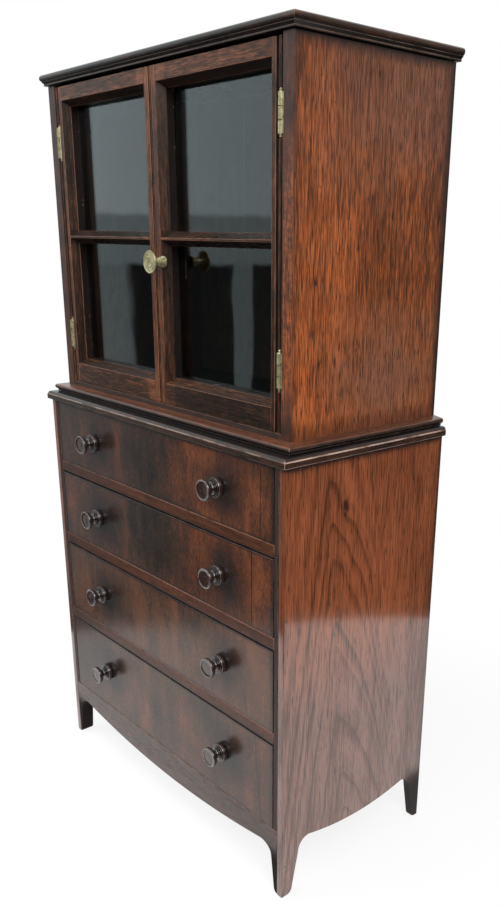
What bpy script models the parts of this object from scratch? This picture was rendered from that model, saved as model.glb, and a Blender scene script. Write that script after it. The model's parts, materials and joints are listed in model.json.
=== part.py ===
"""Apprentice chest: a miniature glazed cabinet on a four-drawer chest, built piece by piece in metres, +Z up.

The chest stands on feet sawn from its own side boards and apron. Four drawers run on divider frames, and two
glazed doors hang on butt hinges whose knuckles lie in line with a bead on the door's edge.
"""

import math

import bmesh
import bpy
from mathutils import Matrix, Vector

# Fits
FIT = 0.0003
CUT_MARGIN = 0.002
MERGE_DISTANCE = 1e-7
SMOOTH_ANGLE = 40
CURVE_STEPS = 6

# Chest carcase
CHEST_WIDTH = 0.3730
CHEST_DEPTH = 0.1846
SIDE_THICKNESS = 0.0070
POST_WIDTH = 0.0050
POST_DEPTH = 0.0140
RAIL_THICKNESS = 0.0108
RAIL_DEPTH = 0.0220
RUNNER_WIDTH = 0.0170
GUIDE_HEIGHT = 0.0060
OPENING_HEIGHTS = (0.0860, 0.0784, 0.0700, 0.0645)
APRON_TOP = 0.0671
APRON_THICKNESS = 0.0140
CHEST_FLOOR_THICKNESS = 0.0060
CHEST_BACK_THICKNESS = 0.0050
CHEST_BACK_LAP = 0.0035
CHEST_TOP_THICKNESS = 0.0081
CHEST_TOP_NOSE = 0.0036
CHEST_TOP_FACE = 0.0050
CHEST_TOP_EASE = 0.0004
CHEST_TOP_STEP = 0.0005

# Feet and shaped lower edges
FOOT_ROUND = 0.0062
BOW_STEPS = 14
FRONT_LEG_HEIGHT = 0.0375
FRONT_LEG_TOP = 0.0150
FRONT_LEG_TIP = 0.0113
FRONT_BRACKET = 0.0140
FRONT_APRON_END = 0.0482
FRONT_APRON_MIDDLE = 0.0353
SIDE_LEG_HEIGHT = 0.0405
SIDE_FRONT_LEG_TOP = 0.0197
SIDE_FRONT_LEG_TIP = 0.0125
SIDE_REAR_LEG_TOP = 0.0162
SIDE_REAR_LEG_TIP = 0.0100
SIDE_BRACKET = 0.0120
SIDE_APRON_END = 0.0533
SIDE_APRON_MIDDLE = 0.0460

# Drawers
DRAWER_SIDE_CLEARANCE = 0.0013
DRAWER_TOP_CLEARANCE = 0.0014
DRAWER_FRONT_THICKNESS = 0.0120
DRAWER_WALL = 0.0060
DRAWER_SIDE_DROP = 0.0050
DRAWER_BOTTOM_THICKNESS = 0.0040
DRAWER_BOTTOM_RISE = 0.0030
KNOB_OFFSET = 0.1019
KNOB_RISES = (0.0020, 0.0, 0.0, 0.0)
KNOB_LENGTH = 0.0164
KNOB_BASE_RADIUS = 0.0090
KNOB_BASE_LENGTH = 0.0052
KNOB_RINGS = 3
KNOB_RING_STEP = 0.0016
KNOB_RING_RISE = 0.0008
KNOB_RING_EASE = 0.0005
KNOB_NECK_RADIUS = 0.0038
KNOB_NECK_HEIGHT = 0.0086
KNOB_NECK_FLARE = 0.0016
KNOB_HEAD_RADIUS = 0.0093
KNOB_HEAD_DEPTH = 0.0052
KNOB_HEAD_BELLY = 0.0022
KNOB_RIM = 0.0010
KNOB_DISH = 0.0006
KNOB_TENON_RADIUS = 0.0035
KNOB_TENON_LENGTH = 0.0090
KNOB_SIDES = 20

# Cabinet carcase
CABINET_INSET = 0.01115
CABINET_SETBACK = 0.0151
CABINET_SIDE_HEIGHT = 0.2867
CABINET_SIDE_THICKNESS = 0.0120
CABINET_FLOOR_THICKNESS = 0.0120
CABINET_BACK_THICKNESS = 0.0050
CABINET_BACK_LAP = 0.0050
CORNICE_THICKNESS = 0.0097
CORNICE_NOSE = 0.0058
CORNICE_ROUND = 0.0030
CORNICE_BED = 0.0028
CORNICE_BED_HEIGHT = 0.0036
CORNICE_BEAD = 0.0008
CORNICE_FILLET = 0.0014
CORNICE_REAR = 0.0028
BASE_MOULDING_HEIGHT = 0.0078
BASE_MOULDING_EDGE = 0.0009
BASE_MOULDING_NOSE = 0.0110
BASE_MOULDING_NOSE_HEIGHT = 0.0044
BASE_MOULDING_ROUND = 0.0022
BASE_MOULDING_FOOT = 0.0086
BASE_MOULDING_FILLET = 0.0013
SHELF_DROP = 0.0048
SHELF_THICKNESS = 0.0080
SHELF_HOUSING = 0.0040
SHELF_FRONT_CLEARANCE = 0.0006

# Glazed doors
DOOR_THICKNESS = 0.0220
DOOR_BOTTOM_CLEARANCE = 0.0006
DOOR_TOP_CLEARANCE = 0.0024
HINGE_GAP = 0.00165
MEETING_GAP = 0.0010
MEETING_SLANT = 0.0015
BEVEL_WIDTH = 0.0050
BEVEL_DEPTH = 0.0071
GLASS_DEPTH = 0.0143
GLASS_THICKNESS = 0.0020
REBATE = 0.0022
TOP_RAIL_FLAT = 0.0117
BOTTOM_RAIL_FLAT = 0.0182
HANGING_FLAT = 0.0044
HANGING_QUIRK = 0.0025
HANGING_BEAD_RADIUS = 0.0014
MEETING_FLAT = 0.0064
MEETING_QUIRK = 0.0014
MEETING_BEAD_RADIUS = 0.00075
QUIRK_DEPTH = 0.0020
BAR_NOSE = 0.0016
BAR_HEIGHT = 0.1404

# Hinges
HINGE_LENGTH = 0.0260
HINGE_INSET = 0.0475
KNUCKLE_RADIUS = 0.0022
KNUCKLE_CLEARANCE = 0.00035
PIN_RADIUS = 0.0009
CROWN_RADIUS = 0.0018
CROWN_HEIGHT = 0.0006
FINIAL_LENGTH = 0.0030
FINIAL_RADIUS = 0.0012
FINIAL_WAIST = 0.0007
FINIAL_WAIST_HEIGHT = 0.0010
LEAF_THICKNESS = 0.0009
LEAF_DEPTH = 0.0120
WEB_BITE = 0.0009
WEB_THICKNESS = 0.0011
HINGE_SIDES = 16

# Turning brass knob and its catch
TURN_KNOB_X = 0.0089
TURN_KNOB_DROP = 0.0138
TURN_KNOB_LENGTH = 0.0138
TURN_KNOB_RADIUS = 0.0094
TURN_HEAD_DEPTH = 0.0038
TURN_HEAD_BELLY = 0.0022
TURN_HEAD_FLARE = 0.0010
TURN_RIM = 0.0007
TURN_RIM_HEIGHT = 0.0010
TURN_DISH = 0.0005
TURN_EYE_RADIUS = 0.0012
TURN_EYE_DEPTH = 0.0007
TURN_NECK_RADIUS = 0.0021
TURN_NECK_LENGTH = 0.0016
TURN_ROSE_RADIUS = 0.0048
TURN_ROSE_SEAT = 0.0015
TURN_RINGS = 3
TURN_RING_LOW = 0.0004
TURN_RING_PITCH = 0.0022
TURN_RING_WIDTH = 0.0012
TURN_RING_STEP = 0.0006
TURN_GROOVE = 0.0013
TURN_GROOVE_RISE = 0.0005
SPINDLE_RADIUS = 0.0010
TONGUE_LENGTH = 0.0150
TONGUE_WIDTH = 0.0050
TONGUE_TIP = 0.0035
TONGUE_THICKNESS = 0.0018
TONGUE_CLEARANCE = 0.0004
TURN_KNOB_SIDES = 28

# Planes that the pieces share, worked out from the sizes above
HALF = CHEST_WIDTH / 2
BACK = (CHEST_DEPTH + KNOB_LENGTH - CORNICE_REAR) / 2
FRONT = BACK - CHEST_DEPTH
SIDE_IN = HALF - SIDE_THICKNESS
POST_IN = SIDE_IN - POST_WIDTH
CHEST_TOP_UNDER = APRON_TOP + sum(OPENING_HEIGHTS) + RAIL_THICKNESS * (len(OPENING_HEIGHTS) - 1)
CHEST_TOP_Z = CHEST_TOP_UNDER + CHEST_TOP_THICKNESS
CHEST_BACK_IN = BACK - CHEST_BACK_THICKNESS

CABINET_HALF = HALF - CABINET_INSET
CABINET_FRONT = FRONT + CABINET_SETBACK
CABINET_IN = CABINET_HALF - CABINET_SIDE_THICKNESS
CABINET_BASE = CHEST_TOP_Z + FIT
CABINET_FLOOR_Z = CABINET_BASE + CABINET_FLOOR_THICKNESS
CORNICE_UNDER = CABINET_BASE + CABINET_SIDE_HEIGHT + FIT
CABINET_BACK_IN = BACK - CABINET_BACK_THICKNESS

DOOR_BOTTOM = CABINET_FLOOR_Z + DOOR_BOTTOM_CLEARANCE
DOOR_TOP = CORNICE_UNDER - DOOR_TOP_CLEARANCE
DOOR_BACK = CABINET_FRONT + DOOR_THICKNESS
HANGING_EDGE = CABINET_IN - HINGE_GAP
HANGING_WIDTH = BEVEL_WIDTH + HANGING_FLAT + HANGING_QUIRK + 2 * HANGING_BEAD_RADIUS
HANGING_SIGHT = HANGING_EDGE - HANGING_WIDTH
TOP_SIGHT = DOOR_TOP - TOP_RAIL_FLAT - BEVEL_WIDTH
BOTTOM_SIGHT = DOOR_BOTTOM + BOTTOM_RAIL_FLAT + BEVEL_WIDTH
BAR_Z = DOOR_BOTTOM + BAR_HEIGHT
SHELF_Z = BAR_Z - SHELF_DROP
BAR_HALF = BAR_NOSE / 2 + BEVEL_WIDTH
GLASS_FRONT = CABINET_FRONT + GLASS_DEPTH + FIT
GLASS_BACK = GLASS_FRONT + GLASS_THICKNESS
BAR_BACK_DEPTH = GLASS_BACK - CABINET_FRONT

HINGE_X = HANGING_EDGE - HANGING_BEAD_RADIUS
HINGE_Y = CABINET_FRONT + HANGING_BEAD_RADIUS
HINGE_HEIGHTS = {"upper": DOOR_TOP - HINGE_INSET, "lower": DOOR_BOTTOM + HINGE_INSET}
TURN_KNOB_Z = SHELF_Z - TURN_KNOB_DROP
SIDES = {"left": -1, "right": 1}

# Colour, roughness and metallic value of each finish
FINISHES = {
    "figured mahogany": ((0.115, 0.045, 0.024), 0.32, 0.0),
    "straight mahogany": ((0.185, 0.062, 0.026), 0.36, 0.0),
    "dark moulding": ((0.060, 0.026, 0.017), 0.30, 0.0),
    "turned mahogany": ((0.075, 0.024, 0.016), 0.28, 0.0),
    "drawer lining": ((0.300, 0.165, 0.075), 0.62, 0.0),
    "backboard": ((0.210, 0.110, 0.050), 0.70, 0.0),
    "aged brass": ((0.560, 0.430, 0.200), 0.34, 1.0),
    "window glass": ((0.700, 0.740, 0.730), 0.05, 0.0),
}


def clear_scene():
    for obj in list(bpy.data.objects):
        bpy.data.objects.remove(obj, do_unlink=True)


def finish_for(name, finish):
    colour, roughness, metallic = FINISHES[finish]
    material = bpy.data.materials.new(f"{name} {finish}")
    material.use_nodes = True
    shader = material.node_tree.nodes["Principled BSDF"]
    shader.inputs["Base Color"].default_value = (*colour, 1.0)
    shader.inputs["Roughness"].default_value = roughness
    shader.inputs["Metallic"].default_value = metallic
    return material


def mesh_object(name, bm):
    bmesh.ops.recalc_face_normals(bm, faces=bm.faces)
    mesh = bpy.data.meshes.new(name)
    bm.to_mesh(mesh)
    bm.free()
    obj = bpy.data.objects.new(name, mesh)
    bpy.context.scene.collection.objects.link(obj)
    return obj


def axis_empty(name, location, parent=None):
    empty = bpy.data.objects.new(name, None)
    bpy.context.scene.collection.objects.link(empty)
    empty.empty_display_size = 0.02
    empty.parent = parent
    offset = parent.matrix_world.translation if parent else Vector()
    empty.location = Vector(location) - offset
    bpy.context.view_layer.update()
    return empty


def piece(name, bm, finish, carrier=None, smooth=False):
    """A finished sub-part, carried by an empty that stands on its joint's axis, if it moves."""
    obj = mesh_object(name, bm)
    obj.data.materials.append(finish_for(name, finish))
    if smooth:
        obj.data.shade_smooth()
        obj.data.set_sharp_from_angle(angle=math.radians(SMOOTH_ANGLE))
    if carrier:
        obj.parent = carrier
        obj.matrix_parent_inverse = carrier.matrix_world.inverted()
    return obj


def shape(obj, tool_bm, operation="DIFFERENCE"):
    """Cuts a tool away from a piece, or joins it on, with a live Boolean."""
    tool = mesh_object(f"{obj.name} tool {len(obj.modifiers)}", tool_bm)
    tool.hide_render = True
    tool.display_type = "WIRE"
    modifier = obj.modifiers.new(operation.title(), "BOOLEAN")
    modifier.operation = operation
    modifier.object = tool
    modifier.solver = "EXACT"


def block(x, y, z):
    """A box between two limits on each axis, in any order."""
    bm = bmesh.new()
    bmesh.ops.create_cube(bm, size=1.0)
    spans = [sorted(limits) for limits in (x, y, z)]
    size = Matrix.Diagonal([high - low for low, high in spans]).to_4x4()
    centre = Matrix.Translation([(low + high) / 2 for low, high in spans])
    bmesh.ops.transform(bm, matrix=centre @ size, verts=bm.verts)
    return bm


def prism(outline, axis, low, high):
    """An outline extruded along an axis: (y, z) points along x, (x, z) along y and (x, y) along z."""
    def place(a, b):
        return {"x": (low, a, b), "y": (a, low, b), "z": (a, b, low)}[axis]

    bm = bmesh.new()
    face = bm.faces.new([bm.verts.new(place(a, b)) for a, b in outline])
    travel = Vector([high - low if letter == axis else 0 for letter in "xyz"])
    swept = bmesh.ops.extrude_face_region(bm, geom=[face])["geom"]
    moved = [item for item in swept if isinstance(item, bmesh.types.BMVert)]
    bmesh.ops.translate(bm, vec=travel, verts=moved)
    return bm


def stack(loops):
    """Closed loops of points, each at its own height, bridged in order and capped at both ends."""
    bm = bmesh.new()
    rings = [[bm.verts.new((x, y, z)) for x, y in loop] for z, loop in loops]
    for below, above in zip(rings, rings[1:]):
        count = len(below)
        for i in range(count):
            j = (i + 1) % count
            bm.faces.new((below[i], below[j], above[j], above[i]))
    bm.faces.new(rings[0][::-1])
    bm.faces.new(rings[-1])
    return bm


def turned(profile, sides, closed=False):
    """A profile of (radius, height) points spun about Z. A closed profile makes a tube."""
    bm = bmesh.new()
    verts = [bm.verts.new((radius, 0, height)) for radius, height in profile]
    pairs = list(zip(verts, verts[1:]))
    if closed:
        pairs.append((verts[-1], verts[0]))
    edges = [bm.edges.new(pair) for pair in pairs]
    bmesh.ops.spin(
        bm, geom=verts + edges, axis=(0, 0, 1), cent=(0, 0, 0), angle=2 * math.pi, steps=sides, use_merge=True
    )
    bmesh.ops.remove_doubles(bm, verts=bm.verts, dist=MERGE_DISTANCE)
    return bm


def placed(bm, location, turn=None):
    matrix = Matrix.Translation(location)
    if turn:
        matrix = matrix @ turn
    bmesh.ops.transform(bm, matrix=matrix, verts=bm.verts)
    return bm


def rod(radius, location, length, turn, sides):
    return placed(turned([(0, 0), (radius, 0), (radius, length), (0, length)], sides), location, turn)


def arc(centre, radii, start, end, steps):
    """Points on an ellipse's arc, with angles in degrees."""
    angles = [math.radians(start + (end - start) * i / steps) for i in range(steps + 1)]
    return [(centre[0] + radii[0] * math.cos(a), centre[1] + radii[1] * math.sin(a)) for a in angles]


TOWARDS_FRONT = Matrix.Rotation(math.radians(90), 4, "X")
TOWARDS_BACK = Matrix.Rotation(math.radians(-90), 4, "X")


def foot(outer, inward, top, tip, height):
    """A tapered foot seen square on, from its outer edge round the tip to its inner top.

    A tip narrower than the rounding carries on a curve that starts in the board beside it.
    """
    toe = outer + inward * (tip - FOOT_ROUND)
    lead = math.degrees(math.acos(max(FOOT_ROUND - tip, 0) / FOOT_ROUND))
    start, end = (-lead, 0) if inward > 0 else (180 + lead, 180)
    rounding = arc((toe, FOOT_ROUND), (FOOT_ROUND, FOOT_ROUND), start, end, CURVE_STEPS)
    sole = [(outer, 0)] if tip > FOOT_ROUND else []
    return sole + rounding + [(outer + inward * top, height)]


def shaped_edge(low, high, legs, height, bracket, ends, middle):
    """The lower edge between two ends: foot, bracket, bowed apron, bracket and foot."""
    (low_top, low_tip), (high_top, high_tip) = legs
    start = low + low_top + bracket
    finish = high - high_top - bracket
    bow = []
    for i in range(1, BOW_STEPS):
        along = i / BOW_STEPS
        drop = 4 * (ends - middle) * along * (1 - along)
        bow.append((start + (finish - start) * along, ends - drop))
    rise = (bracket, ends - height)
    left = arc((start, height), rise, 180, 90, CURVE_STEPS)
    right = arc((finish, height), rise, 90, 0, CURVE_STEPS)
    first = foot(low, 1, low_top, low_tip, height)
    last = foot(high, -1, high_top, high_tip, height)[::-1]
    return first[:-1] + left + bow + right + last[1:]


def edged_rectangle(half, front, rear, reach):
    """A board's outline grown by a reach at the front and both ends, and cut straight at the rear."""
    outer = half + reach
    face = front - reach
    return [(-outer, rear), (-outer, face), (outer, face), (outer, rear)]


def chest_side(name, side):
    legs = ((SIDE_FRONT_LEG_TOP, SIDE_FRONT_LEG_TIP), (SIDE_REAR_LEG_TOP, SIDE_REAR_LEG_TIP))
    top = CHEST_TOP_UNDER - FIT
    outline = shaped_edge(
        FRONT, BACK, legs, SIDE_LEG_HEIGHT, SIDE_BRACKET, SIDE_APRON_END, SIDE_APRON_MIDDLE
    )
    outline += [(BACK, top), (FRONT, top)]
    board = piece(name, prism(outline, "x", side * SIDE_IN, side * HALF), "figured mahogany")
    lap = (side * (SIDE_IN - CUT_MARGIN), side * (SIDE_IN + CHEST_BACK_LAP))
    depth = (CHEST_BACK_IN - FIT, BACK + CUT_MARGIN)
    shape(board, block(lap, depth, (chest_back_bottom() - FIT, top + CUT_MARGIN)))


def chest_back_bottom():
    return APRON_TOP - CHEST_FLOOR_THICKNESS


def front_apron():
    edge = SIDE_IN - FIT
    inset = HALF - edge
    legs = ((FRONT_LEG_TOP - inset, FRONT_LEG_TIP - inset),) * 2
    outline = shaped_edge(
        -edge, edge, legs, FRONT_LEG_HEIGHT, FRONT_BRACKET, FRONT_APRON_END, FRONT_APRON_MIDDLE
    )
    outline += [(edge, APRON_TOP), (-edge, APRON_TOP)]
    piece("front_apron", prism(outline, "y", FRONT, FRONT + APRON_THICKNESS), "figured mahogany")


def drawer_guides(obj, z):
    """Strips beside the drawer that fill the gap between its side and the side board."""
    for side in SIDES.values():
        span = (side * (POST_IN - DRAWER_SIDE_CLEARANCE / 2), side * (SIDE_IN - FIT))
        guide = block(span, (FRONT + RAIL_DEPTH, CHEST_BACK_IN - FIT), (z - FIT, z + GUIDE_HEIGHT))
        shape(obj, guide, "UNION")


def drawer_divider(name, z):
    """A front rail with a runner at each end, glued up as one frame."""
    rail = POST_IN - FIT
    outer = SIDE_IN - FIT
    inner = SIDE_IN - RUNNER_WIDTH
    shoulder = FRONT + POST_DEPTH + FIT
    rear = CHEST_BACK_IN - FIT
    right = [
        (rail, FRONT), (rail, shoulder), (outer, shoulder), (outer, rear),
        (inner, rear), (inner, FRONT + RAIL_DEPTH),
    ]
    left = [(-x, y) for x, y in right[::-1]]
    frame = piece(name, prism(right + left, "z", z, z + RAIL_THICKNESS), "dark moulding")
    drawer_guides(frame, z + RAIL_THICKNESS)


def chest_carcase():
    for word, side in SIDES.items():
        chest_side(f"chest_side_{word}", side)
        span = (side * POST_IN, side * (SIDE_IN - FIT))
        post = block(span, (FRONT, FRONT + POST_DEPTH), (APRON_TOP + FIT, CHEST_TOP_UNDER - FIT))
        piece(f"front_post_{word}", post, "dark moulding")
    front_apron()

    lap = SIDE_IN + CHEST_BACK_LAP - FIT
    back = block((-lap, lap), (CHEST_BACK_IN, BACK), (chest_back_bottom(), CHEST_TOP_UNDER - FIT))
    piece("chest_back", back, "backboard")

    edge = SIDE_IN - FIT
    depth = (FRONT + APRON_THICKNESS + FIT, CHEST_BACK_IN - FIT)
    floor = piece("chest_floor", block((-edge, edge), depth, (chest_back_bottom(), APRON_TOP)), "backboard")
    drawer_guides(floor, APRON_TOP)

    chest_top()


def chest_top():
    """The top board, its edge moulded as an eased flat face under a small step and a thumb round."""
    step_z = CHEST_TOP_UNDER + CHEST_TOP_FACE
    levels = [
        (CHEST_TOP_UNDER, CHEST_TOP_NOSE - CHEST_TOP_EASE),
        (CHEST_TOP_UNDER + CHEST_TOP_EASE, CHEST_TOP_NOSE),
        (step_z, CHEST_TOP_NOSE),
    ]
    thumb = arc((0, step_z), (CHEST_TOP_NOSE - CHEST_TOP_STEP, CHEST_TOP_Z - step_z), 8, 75, CURVE_STEPS)
    levels += [(z, reach) for reach, z in thumb]
    levels.append((CHEST_TOP_Z, 0))
    loops = [(z, edged_rectangle(HALF, FRONT, BACK, reach)) for z, reach in levels]
    piece("chest_top", stack(loops), "dark moulding")


def drawer_knob(name, x, z, carrier):
    """A turned knob, its axis towards the front: tenon, ringed base, neck and dished head with a rim."""
    profile = [(0, -KNOB_TENON_LENGTH), (KNOB_TENON_RADIUS, -KNOB_TENON_LENGTH), (KNOB_TENON_RADIUS, FIT)]
    profile += [(KNOB_BASE_RADIUS - KNOB_RING_EASE, FIT), (KNOB_BASE_RADIUS, FIT + KNOB_RING_EASE)]
    for ring in range(KNOB_RINGS):
        radius = KNOB_BASE_RADIUS - KNOB_RING_STEP * ring
        height = KNOB_BASE_LENGTH + KNOB_RING_RISE * ring
        profile += [(radius, height - KNOB_RING_EASE), (radius - KNOB_RING_EASE, height)]
        profile.append((radius - KNOB_RING_STEP, height))
    profile.append((KNOB_NECK_RADIUS, KNOB_NECK_HEIGHT))
    profile.append((KNOB_NECK_RADIUS + KNOB_RING_EASE, KNOB_NECK_HEIGHT + KNOB_NECK_FLARE))
    head = KNOB_LENGTH - KNOB_HEAD_DEPTH
    profile += [(KNOB_HEAD_RADIUS - KNOB_HEAD_BELLY, head), (KNOB_HEAD_RADIUS, head + KNOB_HEAD_BELLY)]
    profile += [(KNOB_HEAD_RADIUS, KNOB_LENGTH - KNOB_RIM), (KNOB_HEAD_RADIUS - KNOB_RIM, KNOB_LENGTH)]
    profile += [(KNOB_HEAD_RADIUS - 2 * KNOB_RIM, KNOB_LENGTH - KNOB_DISH), (0, KNOB_LENGTH - KNOB_DISH / 2)]
    knob = placed(turned(profile, KNOB_SIDES), (x, FRONT, z), TOWARDS_FRONT)
    piece(name, knob, "turned mahogany", carrier, smooth=True)


def drawer(number, z, opening, knob_rise):
    bottom = z + FIT
    top = z + opening - DRAWER_TOP_CLEARANCE
    half = POST_IN - DRAWER_SIDE_CLEARANCE
    front_back = FRONT + DRAWER_FRONT_THICKNESS
    middle = (bottom + top) / 2
    carrier = axis_empty(f"drawer_{number}_slide", (0, FRONT, middle))

    front = block((-half, half), (FRONT, front_back), (bottom, top))
    front = piece(f"drawer_{number}_front", front, "figured mahogany", carrier)
    for word, side in SIDES.items():
        x = side * KNOB_OFFSET
        knob_z = middle + knob_rise
        mouth = (x, FRONT - CUT_MARGIN, knob_z)
        depth = KNOB_TENON_LENGTH + FIT + CUT_MARGIN
        shape(front, rod(KNOB_TENON_RADIUS + FIT, mouth, depth, TOWARDS_BACK, KNOB_SIDES))
        drawer_knob(f"drawer_{number}_knob_{word}", x, knob_z, carrier)

    start = front_back + FIT
    rear = CHEST_BACK_IN - FIT
    side_top = top - DRAWER_SIDE_DROP
    floor = bottom + DRAWER_BOTTOM_RISE
    box = block((-half, half), (start, rear), (bottom, side_top))
    box = piece(f"drawer_{number}_box", box, "drawer lining", carrier)
    inside = half - DRAWER_WALL
    space = (start - CUT_MARGIN, rear - DRAWER_WALL)
    shape(box, block((-inside, inside), space, (floor + DRAWER_BOTTOM_THICKNESS, side_top + CUT_MARGIN)))
    shape(box, block((-inside, inside), space, (bottom - CUT_MARGIN, floor)))


def drawers():
    z = APRON_TOP
    count = len(OPENING_HEIGHTS)
    for i, opening in enumerate(OPENING_HEIGHTS):
        number = count - i
        drawer(number, z, opening, KNOB_RISES[i])
        z += opening
        if number > 1:
            drawer_divider(f"drawer_divider_{number - 1}", z)
            z += RAIL_THICKNESS


def cabinet_side(name, side):
    top = CABINET_BASE + CABINET_SIDE_HEIGHT
    board = block((side * CABINET_IN, side * CABINET_HALF), (CABINET_FRONT, BACK), (CABINET_BASE, top))
    board = piece(name, board, "straight mahogany")
    face = side * (CABINET_IN - CUT_MARGIN)
    lap = side * (CABINET_IN + CABINET_BACK_LAP)
    height = (CABINET_BASE - CUT_MARGIN, top + CUT_MARGIN)
    shape(board, block((face, lap), (CABINET_BACK_IN - FIT, BACK + CUT_MARGIN), height))
    housing = (SHELF_Z - FIT, SHELF_Z + SHELF_THICKNESS + FIT)
    depth = (DOOR_BACK + SHELF_FRONT_CLEARANCE - FIT, BACK)
    shape(board, block((face, side * (CABINET_IN + SHELF_HOUSING)), depth, housing))
    seat = (face, side * (CABINET_IN + LEAF_THICKNESS + FIT))
    leaf = (CABINET_FRONT - CUT_MARGIN, HINGE_Y + LEAF_DEPTH + FIT)
    reach = HINGE_LENGTH / 2 + FIT
    for z in HINGE_HEIGHTS.values():
        shape(board, block(seat, leaf, (z - reach, z + reach)))


def base_moulding():
    """Three mitred lengths round the foot of the cabinet, glued up as one."""
    inner = CABINET_HALF + FIT
    inner_front = CABINET_FRONT - FIT

    def loop(reach):
        outer = CABINET_HALF + reach
        face = CABINET_FRONT - reach
        right = [(outer, face), (outer, BACK), (inner, BACK), (inner, inner_front)]
        return right + [(-x, y) for x, y in right[::-1]]

    levels = [(CABINET_BASE, BASE_MOULDING_FOOT), (CABINET_BASE + BASE_MOULDING_FILLET, BASE_MOULDING_FOOT)]
    centre = (BASE_MOULDING_NOSE - BASE_MOULDING_ROUND, CABINET_BASE + BASE_MOULDING_NOSE_HEIGHT)
    nose = arc(centre, (BASE_MOULDING_ROUND, BASE_MOULDING_ROUND), -60, 80, CURVE_STEPS)
    levels += [(z, reach) for reach, z in nose]
    levels.append((CABINET_BASE + BASE_MOULDING_HEIGHT, BASE_MOULDING_EDGE))
    piece("base_moulding", stack([(z, loop(reach)) for z, reach in levels]), "dark moulding")


def cabinet_top():
    """The top board, its edge moulded as a bead, a slanted bed and a rounded nose. It overhangs the back."""
    bead = CORNICE_BEAD
    fillet_z = CORNICE_UNDER + CORNICE_BED_HEIGHT
    top = CORNICE_UNDER + CORNICE_THICKNESS
    levels = [(CORNICE_UNDER, CORNICE_BED - bead), (CORNICE_UNDER + bead / 2, CORNICE_BED)]
    levels.append((CORNICE_UNDER + 3 * bead / 2, CORNICE_BED))
    levels.append((CORNICE_UNDER + 2 * bead, CORNICE_BED - bead / 2))
    levels.append((fillet_z, CORNICE_NOSE - CORNICE_FILLET))
    centre = (CORNICE_NOSE - CORNICE_ROUND, (fillet_z + top) / 2)
    nose = arc(centre, (CORNICE_ROUND, (top - fillet_z) / 2), -65, 75, CURVE_STEPS)
    levels += [(z, reach) for reach, z in nose]
    levels.append((top, CORNICE_NOSE - CORNICE_ROUND))
    rear = BACK + CORNICE_REAR
    loops = [(z, edged_rectangle(CABINET_HALF, CABINET_FRONT, rear, reach)) for z, reach in levels]
    piece("cabinet_top", stack(loops), "dark moulding")


def cabinet_carcase():
    for word, side in SIDES.items():
        cabinet_side(f"cabinet_side_{word}", side)
    base_moulding()
    cabinet_top()
    edge = CABINET_IN - FIT
    rear = CABINET_BACK_IN - FIT
    floor = block((-edge, edge), (CABINET_FRONT, rear), (CABINET_BASE, CABINET_FLOOR_Z))
    piece("cabinet_floor", floor, "straight mahogany")
    lap = CABINET_IN + CABINET_BACK_LAP - FIT
    back = block((-lap, lap), (CABINET_BACK_IN, BACK), (CABINET_BASE, CORNICE_UNDER - FIT))
    piece("cabinet_back", back, "backboard")
    end = CABINET_IN + SHELF_HOUSING - FIT
    span = (DOOR_BACK + SHELF_FRONT_CLEARANCE, rear)
    piece("shelf", block((-end, end), span, (SHELF_Z, SHELF_Z + SHELF_THICKNESS)), "straight mahogany")


def sticking(outer_front, back_depth=DOOR_THICKNESS):
    """The moulded inner half of a frame member: flat, bevel, return and rebate, as (out, depth) points."""
    bevel = [(BEVEL_WIDTH, 0), (0, BEVEL_DEPTH)]
    rebate = [(0, GLASS_DEPTH), (REBATE, GLASS_DEPTH), (REBATE, back_depth)]
    return outer_front + bevel + rebate


def beaded_edge(width, quirk, radius):
    """A bead flush with the face along a stile's outer edge, parted from the flat by a quirk."""
    centre = (width - radius, radius)
    bead = arc(centre, (radius, -radius), 0, 180, CURVE_STEPS + 2)
    inner = width - 2 * radius
    return bead + [(inner, QUIRK_DEPTH), (inner - quirk, QUIRK_DEPTH), (inner - quirk, 0)]


def meeting_width(beaded):
    bead = MEETING_QUIRK + 2 * MEETING_BEAD_RADIUS if beaded else 0
    return BEVEL_WIDTH + MEETING_FLAT + bead


def cope(sight, outward):
    """The stile's moulded side grown by the fit, which scribes the end of a rail or bar over it."""
    slack = FIT * math.hypot(BEVEL_WIDTH, BEVEL_DEPTH) / BEVEL_DEPTH
    far = BEVEL_WIDTH + CUT_MARGIN
    near = -CUT_MARGIN
    rear = DOOR_THICKNESS + CUT_MARGIN
    glass = GLASS_DEPTH + FIT
    outline = [
        (far, near), (BEVEL_WIDTH - slack, near), (BEVEL_WIDTH - slack, 0), (-slack, BEVEL_DEPTH),
        (-slack, glass), (REBATE - FIT, glass), (REBATE - FIT, rear), (far, rear),
    ]
    points = [(sight + outward * out, CABINET_FRONT + depth) for out, depth in outline]
    return prism(points, "z", DOOR_BOTTOM - CUT_MARGIN, DOOR_TOP + CUT_MARGIN)


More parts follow.
